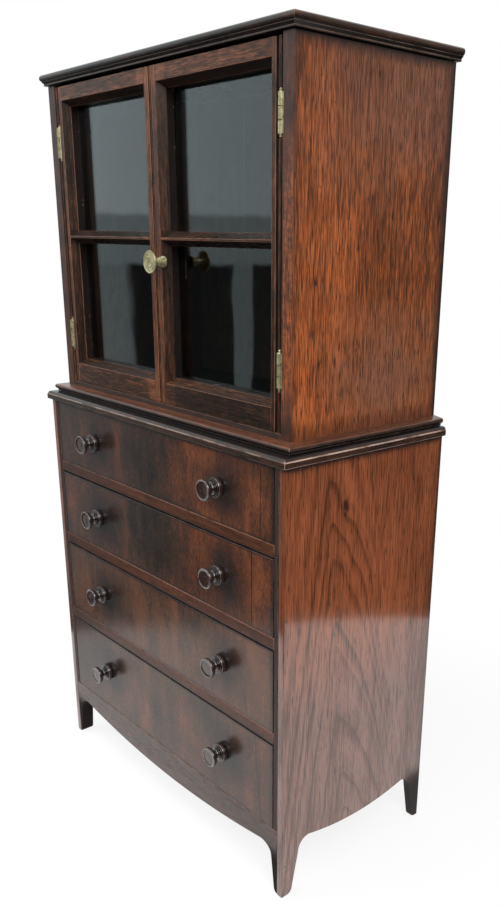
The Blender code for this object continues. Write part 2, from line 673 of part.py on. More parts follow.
def door(word, side, beaded):
    """One glazed door. The beaded one has a bead along its meeting edge."""
    carrier = axis_empty(f"{word}_door_axis", (side * HINGE_X, HINGE_Y, (DOOR_BOTTOM + DOOR_TOP) / 2))
    height = (DOOR_BOTTOM, DOOR_TOP)
    name = f"{word}_door"

    hanging = [(HANGING_WIDTH, DOOR_THICKNESS)]
    hanging = sticking(hanging + beaded_edge(HANGING_WIDTH, HANGING_QUIRK, HANGING_BEAD_RADIUS))
    points = [(side * (HANGING_SIGHT + out), CABINET_FRONT + depth) for out, depth in hanging]
    hanging_stile = piece(f"{name}_hanging_stile", prism(points, "z", *height), "dark moulding", carrier)
    for z in HINGE_HEIGHTS.values():
        reach = HINGE_LENGTH / 2 + FINIAL_LENGTH + FIT
        barrel = (side * HINGE_X, HINGE_Y, z - reach)
        profile = [(KNUCKLE_RADIUS + KNUCKLE_CLEARANCE, height) for height in (0, 2 * reach)]
        groove = turned([(0, 0)] + profile + [(0, 2 * reach)], HINGE_SIDES)
        shape(hanging_stile, placed(groove, barrel))
        leaf = HINGE_LENGTH / 2 + FIT
        seat = (side * (HANGING_EDGE - LEAF_THICKNESS - FIT), side * (HANGING_EDGE + CUT_MARGIN))
        shape(hanging_stile, block(seat, (HINGE_Y, HINGE_Y + LEAF_DEPTH + FIT), (z - leaf, z + leaf)))

    width = meeting_width(beaded)
    edge = MEETING_GAP / 2
    sight = edge + width
    back_corner = [(width - MEETING_SLANT, DOOR_THICKNESS)]
    if beaded:
        outer = back_corner + beaded_edge(width, MEETING_QUIRK, MEETING_BEAD_RADIUS)
    else:
        outer = back_corner + [(width, 0)]
    points = [(side * (sight - out), CABINET_FRONT + depth) for out, depth in sticking(outer)]
    meeting_stile = piece(f"{name}_meeting_stile", prism(points, "z", *height), "dark moulding", carrier)

    ends = (side * (sight - BEVEL_WIDTH + FIT), side * (HANGING_SIGHT + BEVEL_WIDTH - FIT))
    rails = {
        "top_rail": (TOP_SIGHT, 1, TOP_RAIL_FLAT),
        "bottom_rail": (BOTTOM_SIGHT, -1, BOTTOM_RAIL_FLAT),
    }
    for rail_name, (sight_z, outward, flat) in rails.items():
        far = BEVEL_WIDTH + flat
        section = sticking([(far, DOOR_THICKNESS), (far, 0)])
        points = [(CABINET_FRONT + depth, sight_z + outward * out) for out, depth in section]
        rail = piece(f"{name}_{rail_name}", prism(points, "x", *ends), "dark moulding", carrier)
        shape(rail, cope(side * sight, -side))
        shape(rail, cope(side * HANGING_SIGHT, side))

    upper = sticking([], BAR_BACK_DEPTH)
    half_bar = [(CABINET_FRONT + depth, BAR_HALF - out) for out, depth in upper]
    points = [(y, BAR_Z + z) for y, z in half_bar] + [(y, BAR_Z - z) for y, z in half_bar[::-1]]
    bar = piece(f"{name}_glazing_bar", prism(points, "x", *ends), "dark moulding", carrier)
    shape(bar, cope(side * sight, -side))
    shape(bar, cope(side * HANGING_SIGHT, side))

    lap = REBATE - FIT
    pane_x = (side * (sight - lap), side * (HANGING_SIGHT + lap))
    rib = BAR_HALF - lap
    panes = {"upper": (BAR_Z + rib, TOP_SIGHT + lap), "lower": (BOTTOM_SIGHT - lap, BAR_Z - rib)}
    for pane_name, pane_z in panes.items():
        pane = block(pane_x, (GLASS_FRONT, GLASS_BACK), pane_z)
        piece(f"{name}_{pane_name}_pane", pane, "window glass", carrier)

    depth = (GLASS_BACK + FIT, DOOR_BACK)
    fillet = block(pane_x, depth, (BOTTOM_SIGHT - lap, TOP_SIGHT + lap))
    fillet = piece(f"{name}_pane_fillet", fillet, "dark moulding", carrier)
    through = (depth[0] - CUT_MARGIN, depth[1] + CUT_MARGIN)
    for low, high in ((BOTTOM_SIGHT, BAR_Z - BAR_HALF), (BAR_Z + BAR_HALF, TOP_SIGHT)):
        shape(fillet, block((side * sight, side * HANGING_SIGHT), through, (low, high)))
    return carrier, meeting_stile


def hinge(word, side, place, z, carrier):
    """A butt hinge: knuckles, pin and finials on the case's leaf, and the middle knuckle on the door's."""
    base = z - HINGE_LENGTH / 2
    third = HINGE_LENGTH / 3
    x = side * HINGE_X
    ball = arc((0, FINIAL_LENGTH - FINIAL_RADIUS), (FINIAL_RADIUS, FINIAL_RADIUS), -50, 75, CURVE_STEPS - 2)
    tip = [(FINIAL_WAIST, FINIAL_WAIST_HEIGHT)] + ball + [(0, FINIAL_LENGTH)]
    shoulder = [(KNUCKLE_RADIUS, 0), (CROWN_RADIUS, CROWN_HEIGHT)]
    crown = [(radius, HINGE_LENGTH + height) for radius, height in shoulder + tip]
    root = [(radius, -height) for radius, height in (shoulder + tip)[::-1]]
    knuckles = [(KNUCKLE_RADIUS, third - FIT), (PIN_RADIUS, third - FIT)]
    knuckles += [(PIN_RADIUS, 2 * third + FIT), (KNUCKLE_RADIUS, 2 * third + FIT)]
    spindle = placed(turned(root + knuckles + crown, HINGE_SIDES), (x, HINGE_Y, base))
    case = piece(f"hinge_{word}_{place}_case_leaf", spindle, "aged brass", smooth=True)
    plate = (side * CABINET_IN, side * (CABINET_IN + LEAF_THICKNESS))
    shape(case, block(plate, (CABINET_FRONT, HINGE_Y + LEAF_DEPTH), (base, base + HINGE_LENGTH)), "UNION")
    web = (x + side * (KNUCKLE_RADIUS - WEB_BITE), side * (CABINET_IN + LEAF_THICKNESS / 2))
    web_depth = (HINGE_Y - WEB_THICKNESS / 2, HINGE_Y + WEB_THICKNESS / 2)
    ends = ((FIT, third - 2 * FIT), (2 * third + 2 * FIT, HINGE_LENGTH - FIT))
    for low, high in ends:
        shape(case, block(web, web_depth, (base + low, base + high)), "UNION")

    bore = PIN_RADIUS + FIT
    ring_ends = (third + FIT, 2 * third - FIT)
    ring = [(bore, ring_ends[0]), (KNUCKLE_RADIUS, ring_ends[0])]
    ring += [(KNUCKLE_RADIUS, ring_ends[1]), (bore, ring_ends[1])]
    tube = placed(turned(ring, HINGE_SIDES, closed=True), (x, HINGE_Y, base))
    leaf = piece(f"hinge_{word}_{place}_door_leaf", tube, "aged brass", carrier, smooth=True)
    plate = (side * (HANGING_EDGE - LEAF_THICKNESS), side * HANGING_EDGE)
    clear = HINGE_Y + KNUCKLE_RADIUS + 2 * FIT
    neck = (HINGE_Y + bore + FIT, clear + LEAF_THICKNESS)
    shape(leaf, block(plate, neck, (base + third + 2 * FIT, base + 2 * third - 2 * FIT)), "UNION")
    shape(leaf, block(plate, (clear, HINGE_Y + LEAF_DEPTH), (base, base + HINGE_LENGTH)), "UNION")


def turn_knob(door_axis, stile):
    """The brass knob that turns a catch behind the doors. At rest the catch hangs down, clear of both."""
    centre = (TURN_KNOB_X, CABINET_FRONT, TURN_KNOB_Z)
    carrier = axis_empty("turn_knob_axis", centre, door_axis)
    inner_end = DOOR_THICKNESS + TONGUE_CLEARANCE + TONGUE_THICKNESS + 2 * FIT
    seat = FIT - TURN_ROSE_SEAT
    profile = [(0, -inner_end), (SPINDLE_RADIUS, -inner_end)]
    profile += [(SPINDLE_RADIUS, seat), (TURN_ROSE_RADIUS, seat)]
    for ring in range(TURN_RINGS):
        low = seat + TURN_RING_LOW + TURN_RING_PITCH * ring
        high = low + TURN_RING_WIDTH
        radius = TURN_ROSE_RADIUS - TURN_RING_STEP * ring
        profile += [(radius, low), (radius, high), (radius - TURN_GROOVE, high + TURN_GROOVE_RISE)]
    face = TURN_KNOB_LENGTH
    head = face - TURN_HEAD_DEPTH
    rim = TURN_KNOB_RADIUS
    rim_low = face - TURN_RIM_HEIGHT / 2
    profile += [(TURN_NECK_RADIUS, head - TURN_NECK_LENGTH), (TURN_NECK_RADIUS, head)]
    profile.append((rim - TURN_HEAD_BELLY, head + TURN_HEAD_FLARE))
    profile += [(rim, rim_low - TURN_RIM_HEIGHT), (rim, rim_low)]
    profile += [(rim - TURN_RIM, face), (rim - 2 * TURN_RIM, face - TURN_DISH)]
    profile += [(TURN_EYE_RADIUS, face - TURN_DISH / 2), (TURN_EYE_RADIUS, face - TURN_EYE_DEPTH)]
    profile.append((0, face - TURN_EYE_DEPTH))
    knob = placed(turned(profile, TURN_KNOB_SIDES), centre, TOWARDS_FRONT)
    piece("turn_knob", knob, "aged brass", carrier, smooth=True)

    through = DOOR_THICKNESS + 2 * CUT_MARGIN
    mouth = (TURN_KNOB_X, CABINET_FRONT - CUT_MARGIN, TURN_KNOB_Z)
    shape(stile, rod(SPINDLE_RADIUS + FIT, mouth, through, TOWARDS_BACK, HINGE_SIDES))
    rose_depth = CUT_MARGIN + TURN_ROSE_SEAT
    shape(stile, rod(TURN_ROSE_RADIUS + FIT, mouth, rose_depth, TOWARDS_BACK, TURN_KNOB_SIDES))

    half = TONGUE_WIDTH / 2
    tip = TONGUE_TIP / 2
    outline = arc((0, 0), (half, half), 0, 180, CURVE_STEPS)
    outline += [(-tip, FIT - TONGUE_LENGTH), (tip, FIT - TONGUE_LENGTH)]
    outline = [(TURN_KNOB_X + x, TURN_KNOB_Z + z) for x, z in outline]
    near = DOOR_BACK + TONGUE_CLEARANCE
    tongue = piece("catch_tongue", prism(outline, "y", near, near + TONGUE_THICKNESS), "aged brass", carrier)
    start = (TURN_KNOB_X, near - CUT_MARGIN, TURN_KNOB_Z)
    through = TONGUE_THICKNESS + 2 * CUT_MARGIN
    shape(tongue, rod(SPINDLE_RADIUS + FIT, start, through, TOWARDS_BACK, HINGE_SIDES))


def doors():
    for word, side in SIDES.items():
        carrier, meeting_stile = door(word, side, beaded=word == "left")
        for place, z in HINGE_HEIGHTS.items():
            hinge(word, side, place, z, carrier)
        if word == "right":
            turn_knob(carrier, meeting_stile)


def main():
    clear_scene()
    chest_carcase()
    drawers()
    cabinet_carcase()
    doors()
    bpy.context.view_layer.update()


main()
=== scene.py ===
import json
import math

import bmesh
import bpy
from mathutils import Matrix, Vector

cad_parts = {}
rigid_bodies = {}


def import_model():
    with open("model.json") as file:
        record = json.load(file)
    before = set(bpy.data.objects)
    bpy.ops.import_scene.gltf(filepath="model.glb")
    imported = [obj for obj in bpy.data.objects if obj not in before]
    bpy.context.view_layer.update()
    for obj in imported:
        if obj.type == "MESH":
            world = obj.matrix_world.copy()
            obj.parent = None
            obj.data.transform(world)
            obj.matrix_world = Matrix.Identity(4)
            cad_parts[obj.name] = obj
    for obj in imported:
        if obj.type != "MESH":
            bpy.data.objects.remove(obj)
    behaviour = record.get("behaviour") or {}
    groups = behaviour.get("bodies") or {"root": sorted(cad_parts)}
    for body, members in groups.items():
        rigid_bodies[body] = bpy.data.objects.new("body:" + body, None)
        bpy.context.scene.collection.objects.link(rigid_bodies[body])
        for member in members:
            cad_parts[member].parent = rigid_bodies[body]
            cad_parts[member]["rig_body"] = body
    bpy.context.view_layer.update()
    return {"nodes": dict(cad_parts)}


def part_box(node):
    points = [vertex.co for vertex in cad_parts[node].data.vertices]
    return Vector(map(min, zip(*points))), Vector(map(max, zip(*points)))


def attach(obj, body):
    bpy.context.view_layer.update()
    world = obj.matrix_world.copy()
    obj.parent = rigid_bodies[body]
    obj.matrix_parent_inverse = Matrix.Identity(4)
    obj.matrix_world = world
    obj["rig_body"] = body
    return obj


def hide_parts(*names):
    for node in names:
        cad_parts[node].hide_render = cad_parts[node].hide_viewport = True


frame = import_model()
scene = bpy.context.scene
scene.view_settings.view_transform = "Standard"
mm = 0.001
toMm = 1000.0
print("frame loaded:", len(frame["nodes"]), "pieces")


class Wire:  # one output socket, so that sums on it read as sums
    def __init__(self, shade, socket):
        self.shade, self.socket = shade, socket

    def __add__(self, other):
        return self.shade.calc("ADD", self, other)

    def __radd__(self, other):
        return self.shade.calc("ADD", other, self)

    def __sub__(self, other):
        return self.shade.calc("SUBTRACT", self, other)

    def __rsub__(self, other):
        return self.shade.calc("SUBTRACT", other, self)

    def __mul__(self, other):
        return self.shade.calc("MULTIPLY", self, other)

    def __rmul__(self, other):
        return self.shade.calc("MULTIPLY", other, self)

    def __truediv__(self, other):
        return self.shade.calc("DIVIDE", self, other)

    def __rtruediv__(self, other):
        return self.shade.calc("DIVIDE", other, self)

    def __pow__(self, other):
        return self.shade.calc("POWER", self, other)

    def __mod__(self, other):
        return self.shade.calc("FLOORED_MODULO", self, other)

    def __abs__(self):
        return self.shade.calc("ABSOLUTE", self, 0.0)


class Shade:  # a node tree under construction, for a material, the world or a shape
    def __init__(self, tree):
        self.tree = tree
        tree.nodes.clear()

    def add(self, kind, settings=None, sockets=None, out=0):
        node = self.tree.nodes.new(kind)
        for key, value in (settings or {}).items():
            if key == "stops":
                self.setStops(node.color_ramp, value)
            else:
                setattr(node, key, value)
        for key, value in (sockets or {}).items():
            self.plug(node.inputs[key], value)
        return Wire(self, node.outputs[out]) if len(node.outputs) else node

    def plug(self, socket, value):
        for each in value if isinstance(value, list) else [value]:
            if isinstance(each, Wire):
                self.tree.links.new(each.socket, socket)
            else:
                socket.default_value = each

    def setStops(self, ramp, stops):
        while len(ramp.elements) < len(stops):
            ramp.elements.new(0.5)
        for element, (place, colour) in zip(ramp.elements, stops):
            element.position, element.color = place, (*colour, 1.0)

    def calc(self, operation, a, b):
        return self.add("ShaderNodeMath", {"operation": operation}, {0: a, 1: b})

    def step(self, value, low, high):  # 0 below low, 1 above high, smooth between
        sockets = {0: value, 1: low, 2: high, 3: 0.0, 4: 1.0}
        return self.add("ShaderNodeMapRange", {"interpolation_type": "SMOOTHSTEP"}, sockets)

    def band(self, value, low, high, soft):  # 1 between low and high
        return self.step(value, low, low + soft) * (1 - self.step(value, high - soft, high))

    def most(self, *values):
        best = values[0]
        for value in values[1:]:
            best = self.calc("MAXIMUM", best, value)
        return best

    def mix(self, factor, a, b, blend="MIX"):
        colours = [v if isinstance(v, Wire) else (*v, 1.0) for v in (a, b)]
        settings = {"data_type": "RGBA", "blend_type": blend, "clamp_factor": True}
        return self.add("ShaderNodeMix", settings, {0: factor, 6: colours[0], 7: colours[1]}, out=2)

    def split(self, vector):
        node = self.add("ShaderNodeSeparateXYZ", None, {0: vector}).socket.node
        return [Wire(self, socket) for socket in node.outputs]


def newMaterial(name):
    material = bpy.data.materials.new(name)
    material.use_nodes = True
    s = Shade(material.node_tree)
    s.material = material
    s.place = s.add("ShaderNodeTexCoord", None, None, out="Object")
    return s


def closeMaterial(s, fixed, varied):
    shader = s.add("ShaderNodeBsdfPrincipled", None, {**fixed, **varied})
    s.add("ShaderNodeOutputMaterial", None, {"Surface": shader})
    return s.material


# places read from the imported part, in metres
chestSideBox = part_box("chest_side_right")
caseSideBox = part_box("cabinet_side_right")
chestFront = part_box("front_apron")[0].y
caseFront = caseSideBox[0].y
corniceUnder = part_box("cabinet_top")[0].z
chestTopUnder, chestTop = [corner.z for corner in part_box("chest_top")]
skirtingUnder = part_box("base_moulding")[0].z
drawerBoxes = {n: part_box(f"drawer_{n}_front") for n in (1, 2, 3, 4)}
knobCentres = {}
for number in drawerBoxes:
    for word in ("left", "right"):
        knobLow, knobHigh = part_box(f"drawer_{number}_knob_{word}")
        middle = (knobLow + knobHigh) / 2
        knobCentres[number, word] = Vector((middle.x, chestFront, middle.z))


def startWood(name):
    s = newMaterial(name)
    # across, deep and along the grain, in mm
    s.grain = s.add("ShaderNodeAttribute", {"attribute_name": "grain"}, None, out="Vector")
    s.x, s.y, s.z = [axis * toMm for axis in s.split(s.place)]
    s.worn = s.add("ShaderNodeAttribute", {"attribute_name": "arris"}, None, out="Fac")
    return s


def noise(s, laid, detail, rough, **more):
    return s.add("ShaderNodeTexNoise", None, {
        "Vector": laid, "Scale": 1.0, "Detail": detail, "Roughness": rough, **more})


def fibre(s, across, along, detail=3.0, rough=0.55, shift=0.0):  # long streaks, sizes in mm
    laid = s.add("ShaderNodeMapping", None, {
        "Vector": s.grain, "Location": (shift, shift * 0.7, shift * 1.3),
        "Scale": (1 / across, 1 / across, 1 / along)})
    return noise(s, laid, detail, rough)


def cloud(s, size, detail=2.0, shift=0.0):  # even blotches, size in mm
    laid = s.add("ShaderNodeMapping", None, {
        "Vector": s.place, "Location": (shift, shift, shift), "Scale": (toMm / size,) * 3})
    return noise(s, laid, detail, 0.55)


def streaks(s, strength, *laying):  # fibre, as much above nought as below
    return (fibre(s, *laying) - 0.5) * strength


def blotches(s, strength, *laying):  # cloud, as much above nought as below
    return (cloud(s, *laying) - 0.5) * strength


def plainGrain(s, start, broad, narrow):
    return start + streaks(s, broad, 9, 140, 3.0, 0.55, 2.0) + streaks(s, narrow, 2.0, 60, 3.0, 0.6, 9.0)


def patchMask(s, u, v, centre, radii, soft=0.9):  # an oval patch, places in mm
    away = (((u - centre[0]) / radii[0]) ** 2 + ((v - centre[1]) / radii[1]) ** 2) ** 0.5
    return 1 - s.step(away, 1 - soft, 1.0 + soft * 0.4)


def edgeMask(s, axis, place, reach):  # fades away from a plane
    return 1 - s.step(abs(axis - place), 0.0, reach)


def dotMask(s, u, v, places, radius):  # small round holes
    rounds = [((u - a) ** 2 + (v - b) ** 2) ** 0.5 for a, b in places]
    return s.most(*[1 - s.step(away, radius * 0.55, radius) for away in rounds])


def lineMask(s, u, v, start, end, width, wobble):  # a crack from start to end
    slope = (end[0] - start[0]) / (end[1] - start[1])
    off = abs(u - (start[0] - start[1] * slope) - v * slope - wobble)
    low, high = sorted((start[1], end[1]))
    return (1 - s.step(off, width * 0.35, width)) * s.band(v, low, high, 4)


sharedLook = {  # what every wood has unless its own look says otherwise
    "coat": 0.0, "coatRough": 0.1, "ior": 1.5, "orangePeel": 0.0, "bumpDepth": 0.00025,
    "poreSoft": 0.09, "poreRough": 0.1, "dirtAndShadeRough": 0.05, "wearSoft": 0.22,
}
soot = (0.006, 0.004, 0.004)


def closeWood(s, look, tone, dirtAndShade, extraDark=None, wear=None, filmAndSheen=None, dull=None):
    look = {**sharedLook, **look}
    poreAcross, poreAlong, poreCut, poreDark = look["pores"]
    pores = fibre(s, poreAcross, poreAlong, 1.0, 0.5, 31.0)
    pores = s.step(pores, poreCut, poreCut + look["poreSoft"])
    fine = fibre(s, *look["dash"], 2.0, 0.6, 57.0)
    tone = tone + (fine - 0.5) * look["fine"]
    colour = s.add("ShaderNodeValToRGB", {"stops": look["stops"]}, {"Fac": tone})
    if filmAndSheen is not None:  # over the stain, real films such as putty and haze, and also painted sheen and highlights: where, and its colour
        where, shade = filmAndSheen
        colour = s.mix(where * (0.35 + 1.1 * s.step(tone, 0.2, 0.8)), colour, shade)
    colour = s.mix(pores * poreDark, colour, look["poreColour"])
    if wear is None:
        wear = s.step(cloud(s, 11.0, 3.0, 5.0), look["wearFrom"], look["wearFrom"] + look["wearSoft"])
    colour = s.mix(s.worn * look["wear"] * wear, colour, look["wornColour"])
    # the dirt mask also carries painted shade laid in by the makers: gaps, rebates, creases, recesses and
    # undersides darkened
    dirtAndShade = dirtAndShade * (0.6 + 0.8 * cloud(s, 16.0, 3.0, 11.0))
    colour = s.mix(dirtAndShade, colour, look["dirtAndShadeColour"])
    if extraDark is not None:
        colour = s.mix(extraDark, colour, soot)
    rough = look["rough"] + blotches(s, look["smear"], 30.0, 4.0, 3.0)
    rough = rough + pores * look["poreRough"] + dirtAndShade * look["dirtAndShadeRough"]
    height = fine * 0.35 - pores * 0.8 + cloud(s, 1.1, 2.0, 91.0) * look["orangePeel"]
    normal = s.add("ShaderNodeBump", None, {
        "Strength": look["bump"], "Distance": look["bumpDepth"], "Height": height})
    fixed = {
        "Specular IOR Level": look["specular"], "IOR": look["ior"], "Coat Weight": look["coat"],
        "Coat Roughness": look["coatRough"]}
    varied = {"Base Color": colour, "Roughness": rough, "Normal": normal}
    if "coatIor" in look:  # thick polish, broken by the pores
        fixed["Coat IOR"] = look["coatIor"]
        varied["Coat Weight"] = look["coat"] * (1 - s.most(pores * 0.75, (1 - s.step(tone, 0.1, 0.5)) * 0.45))
    if dull is not None:  # polish rubbed off
        varied["Roughness"] = rough + dull
        varied["Coat Weight"] = varied.get("Coat Weight", look["coat"]) * (1 - s.step(dull, 0.0, 0.5))
    return closeMaterial(s, fixed, varied)


def shades(middle, darkest=0.26, lightest=1.85):  # four steps of one stain, from pores to bright ribbons
    return [(0.14, tuple(c * darkest + 0.003 for c in middle)), (0.42, tuple(c * 0.72 for c in middle)),
            (0.60, tuple(c * 1.12 for c in middle)), (0.90, tuple(c * lightest for c in middle))]


# dash: across and along in mm, pores: the same, then where they start and how dark they are
caseSideLook = {
    "stops": shades((0.212, 0.056, 0.0150), 0.28, 1.95), "dash": (0.72, 18.0), "fine": 2.2,
    "pores": (0.55, 12.0, 0.565, 0.95), "poreColour": (0.024, 0.009, 0.006),
    "wear": 0.6, "wearFrom": 0.35, "wornColour": (0.20, 0.070, 0.032), "dirtAndShadeColour": (0.020, 0.011, 0.009),
    "rough": 0.34, "smear": 0.2, "bump": 0.4, "specular": 0.36, "hazeColour": (0.165, 0.080, 0.052),
}


def makeCaseSideWood():
    s = startWood("caseSideWood")
    low, high = caseSideBox
    tone = 0.49 + streaks(s, 0.5, 24, 170, 3.0, 0.5, 2.0) + streaks(s, 0.5, 1.2, 38, 3.0, 0.65, 9.0)
    tone = tone + patchMask(s, s.y, s.z, (-36, 545), (46, 70)) * 0.08 + blotches(s, 0.4, 60, 2.0, 21.0)
    # lighter low down, darker high up and towards the back
    tone = tone + (1 - s.step(s.z, 440, 540)) * 0.19 - s.step(s.z, 600, 690) * 0.08
    tone = tone - s.step(s.y, 35, 95) * 0.12
    edge = 1 - s.step(s.y, low.y / mm + 0.3, low.y / mm + 0.8)  # the board's front edge beside the door
    edgeDark = s.most(s.step(s.z, 592, 640), 1 - s.step(s.z, 425, 470), 1 - s.step(s.x, -10, 10)) * 0.85
    ragged = blotches(s, 14, 14, 4.0, 81.0)
    # a painted shadow under the cornice, and painted shade on the inner face inside the case, go into this
    # mask with the dirt
    dirtAndShade = s.most(
        edgeMask(s, s.z, corniceUnder / mm, 11) * 0.95, edgeMask(s, s.z, low.z / mm + 9, 15) * 0.5,
        edgeMask(s, s.y, high.y / mm, 12), edgeMask(s, s.y + ragged, low.y / mm, 9) * (0.35 + 0.4 * edgeDark),
        edge * edgeDark,
        (1 - s.step(abs(s.x), abs(low.x) / mm + 0.6, abs(low.x) / mm + 3)) * 0.8,
    )
    spots = s.step(cloud(s, 7.0, 1.0, 41.0), 0.73, 0.79) * 0.5
    mark = dotMask(s, s.x, s.z, [(170.6, 655.0)], 1.5) * edge  # a knock on the edge
    drift = blotches(s, 160, 70, 3.0, 51.0)
    lowHaze = patchMask(s, s.y + drift * 0.4, s.z + drift * 0.5, (35, 455), (80, 60)) * 0.55
    rearward = 0.2 + 0.8 * s.step(s.y + drift * 0.3, -58, -5)
    haze = s.most(s.step(s.z + drift, 560, 680) * 0.55 * rearward, lowHaze)
    flecks = blotches(s, edge, 3.0, 3.0, 17.0) * (1.5 - edgeDark)  # rubbed through in spots
    tone = tone - edge * 0.14 + flecks
    filmAndSheen = (haze, caseSideLook["hazeColour"])
    return closeWood(s, caseSideLook, tone, s.most(dirtAndShade, spots), mark * 0.9, None, filmAndSheen)


chestSideLook = {
    "stops": shades((0.212, 0.062, 0.0245), 0.32, 1.45), "dash": (0.8, 34.0), "fine": 1.45, "orangePeel": 0.9,
    "pores": (0.55, 15.0, 0.615, 0.92), "poreColour": (0.034, 0.012, 0.008),
    "wear": 0.6, "wearFrom": 0.35, "wornColour": (0.19, 0.066, 0.034), "dirtAndShadeColour": (0.018, 0.011, 0.010),
    "rough": 0.055, "smear": 0.03, "bump": 0.2, "specular": 0.5,
    "coat": 1.0, "coatRough": 0.075, "coatIor": 1.7, "paintedSheenColour": (0.125, 0.066, 0.052),
    "heart": -38.0, "heartDrift": 0.088, "pitch": 1.9, "lean": 1.3, "nose": 5.0, "ring": 30.0,
    "arches": (378, 342, 310, 256, 232, 168, 101, 58), "knot": (-19.4, 355.5),
    "pinHoles": [(-82.0, 33.0), (-69.5, 33.0)], "footJoint": 26.5,
}


def makeChestSideWood():
    s = startWood("chestSideWood")
    look = chestSideLook
    low, high = chestSideBox
    wobble = streaks(s, 20, 55, 130, 2.0, 0.5, 4.0)
    heart = look["heart"] + (372 - s.z) * look["heartDrift"]
    across = s.y - heart + wobble * 0.7
    knotAway = ((s.y - look["knot"][0]) ** 2 + ((s.z - look["knot"][1]) * 0.45) ** 2) ** 0.5
    swell = (1 - s.step(knotAway, 1.0, 16.0)) * 14
    away = s.step(across, 25.0, 85.0)  # plain straight grain towards the back
    # steeper towards both edges
    across = across * (1 + look["lean"] * (1 - s.step(across, -8.0, 4.0)) + away * 1.3)
    nosed = (across ** 2 + look["nose"] ** 2) ** 0.5
    # the same all along one growth ring
    rise = s.z + (nosed - look["nose"]) * look["pitch"] + wobble * 1.5 + swell
    steep = (1 + (across / nosed * look["pitch"]) ** 2) ** 0.5
    bands = s.add("ShaderNodeTexNoise", {"noise_dimensions": "1D"}, {
        "W": rise / look["ring"], "Scale": 1.0, "Detail": 3.0, "Roughness": 0.6})
    rings = []
    for arch in look["arches"]:  # a hard outer edge that fades inwards
        inside = (rise - arch) / steep
        rings.append(s.step(inside, -9.0, 0.0) * (1 - s.step(inside, 0.0, 0.8)))
    figure = (bands - 0.5) * 0.5 * (1 - away * 0.6)
    ringDepth = 0.1 + 1.5 * fibre(s, 6, 50, 2.0, 0.5, 43.0)
    figure = figure - s.most(*rings) * 0.24 * (1 - away * 0.85) * ringDepth
    figure = figure + streaks(s, 0.65, 15, 220, 2.0, 0.5, 2.0) + streaks(s, 1.05, 1.1, 60, 3.0, 0.65, 9.0)
    bright = s.step(s.z, 150.0, 250.0)
    tone = 0.57 + figure * (1.3 - 0.3 * bright) - s.step(s.y, 10.0, 90.0) * 0.07 - (1 - bright) * 0.2
    tone = tone - s.step(s.z, 330.0, 400.0) * 0.07
    foot = 1 - s.step(s.z + blotches(s, 14, 12, 3.0, 37.0), 34, 70)  # kicked and dull
    foot = foot * s.step(s.y, 66, 80) * 0.95
    knot = 1 - s.step(knotAway + blotches(s, 6, 5.0, 2.0, 7.0), 1.0, 4.6)
    # a painted shadow under the chest top's lip, and painted shade on the inner face inside the chest, go
    # into this mask with the dirt
    dirtAndShade = s.most(
        edgeMask(s, s.z, high.z / mm, 8) * 0.85, edgeMask(s, s.y, high.y / mm, 7) * 0.75,
        edgeMask(s, s.y, low.y / mm, 1.6) * 0.4, (1 - s.step(s.z, 0.0, 16.0)) * 0.5, foot,
        (1 - s.step(abs(s.x), abs(low.x) / mm + 0.5, abs(low.x) / mm + 3)) * 0.6,
    )
    scratch = s.step(fibre(s, 1.4, 14.0, 0.0, 0.5, 77.0), 0.75, 0.8) * 0.6
    joint = 1 - s.step(abs(s.z - look["footJoint"] + wobble * 0.05), 0.15, 0.55)
    joint = joint * (1 - s.step(s.y, low.y / mm + 15, low.y / mm + 17))
    pins = dotMask(s, s.y, s.z, look["pinHoles"], 1.2)
    # the lower half greyed: a painted sheen, the pale floor's reflection
    paintedSheen = (1 - bright) * (0.35 + 0.3 * fibre(s, 30, 160, 2.0, 0.5, 27.0))
    dark = s.most(knot * 0.85, joint * 0.7, pins * 0.8, foot * 0.7)
    filmAndSheen = (paintedSheen, look["paintedSheenColour"])
    return closeWood(s, look, tone, s.most(dirtAndShade, scratch), dark, None, filmAndSheen, foot * 0.75)


frontLook = {
    "stops": [(0.12, (0.009, 0.0065, 0.0058)), (0.38, (0.031, 0.0165, 0.0115)),
              (0.6, (0.082, 0.027, 0.0125)), (0.9, (0.205, 0.066, 0.025))],
    "dash": (0.8, 5.0), "fine": 0.85,
    "pores": (0.6, 4.0, 0.61, 0.4), "poreColour": (0.020, 0.011, 0.009),
    "wear": 0.75, "wearFrom": 0.26, "wornColour": (0.22, 0.115, 0.080), "dirtAndShadeColour": (0.012, 0.009, 0.009),
    "rough": 0.19, "smear": 0.1, "bump": 0.16, "specular": 0.55,
    # x, z, half width, half height, lighter or darker
    "patches": [
        (118, 364, 62, 46, 0.22), (72, 399, 26, 16, 0.20), (-60, 364, 5, 26, 0.20),
        (-12, 364, 34, 44, -0.16), (-140, 387, 30, 20, -0.10), (92, 302, 40, 34, 0.18),
        (150, 287, 26, 44, 0.20), (-52, 290, 4.5, 26, 0.24), (-4, 284, 40, 40, -0.20),
        (-160, 287, 14, 40, 0.08), (-30, 198, 10, 40, 0.16), (33, 208, 9, 36, 0.20),
        (66, 228, 20, 16, -0.14), (140, 198, 34, 40, 0.14), (-150, 192, 26, 36, 0.04),
        (-66, 100, 18, 16, 0.18), (-28, 84, 12, 26, 0.16), (36, 114, 12, 34, 0.16),
        (140, 110, 28, 44, 0.10), (-10, 100, 14, 26, -0.12), (78, 142, 34, 18, -0.14),
        (-112, 130, 24, 20, -0.12), (-158, 108, 34, 46, -0.18),
    ],
    # start, end, width
    "cracks": [((157.6, 393.5), (156.9, 335.5), 0.6), ((145.9, 323.5), (145.4, 253.5), 0.7),
               ((134.0, 189.5), (138.4, 164.5), 0.6), ((148.8, 153.5), (157.4, 67.5), 0.95)],
    "lowerGoldenColour": (0.094, 0.049, 0.028), "haloReach": 33.0, "haloShift": 10.0, "haloDark": 0.95,
    "tail": 16.0, "tailDepth": 8.6, "tailFlare": 0.012, "tailHalf": 0.36,
}


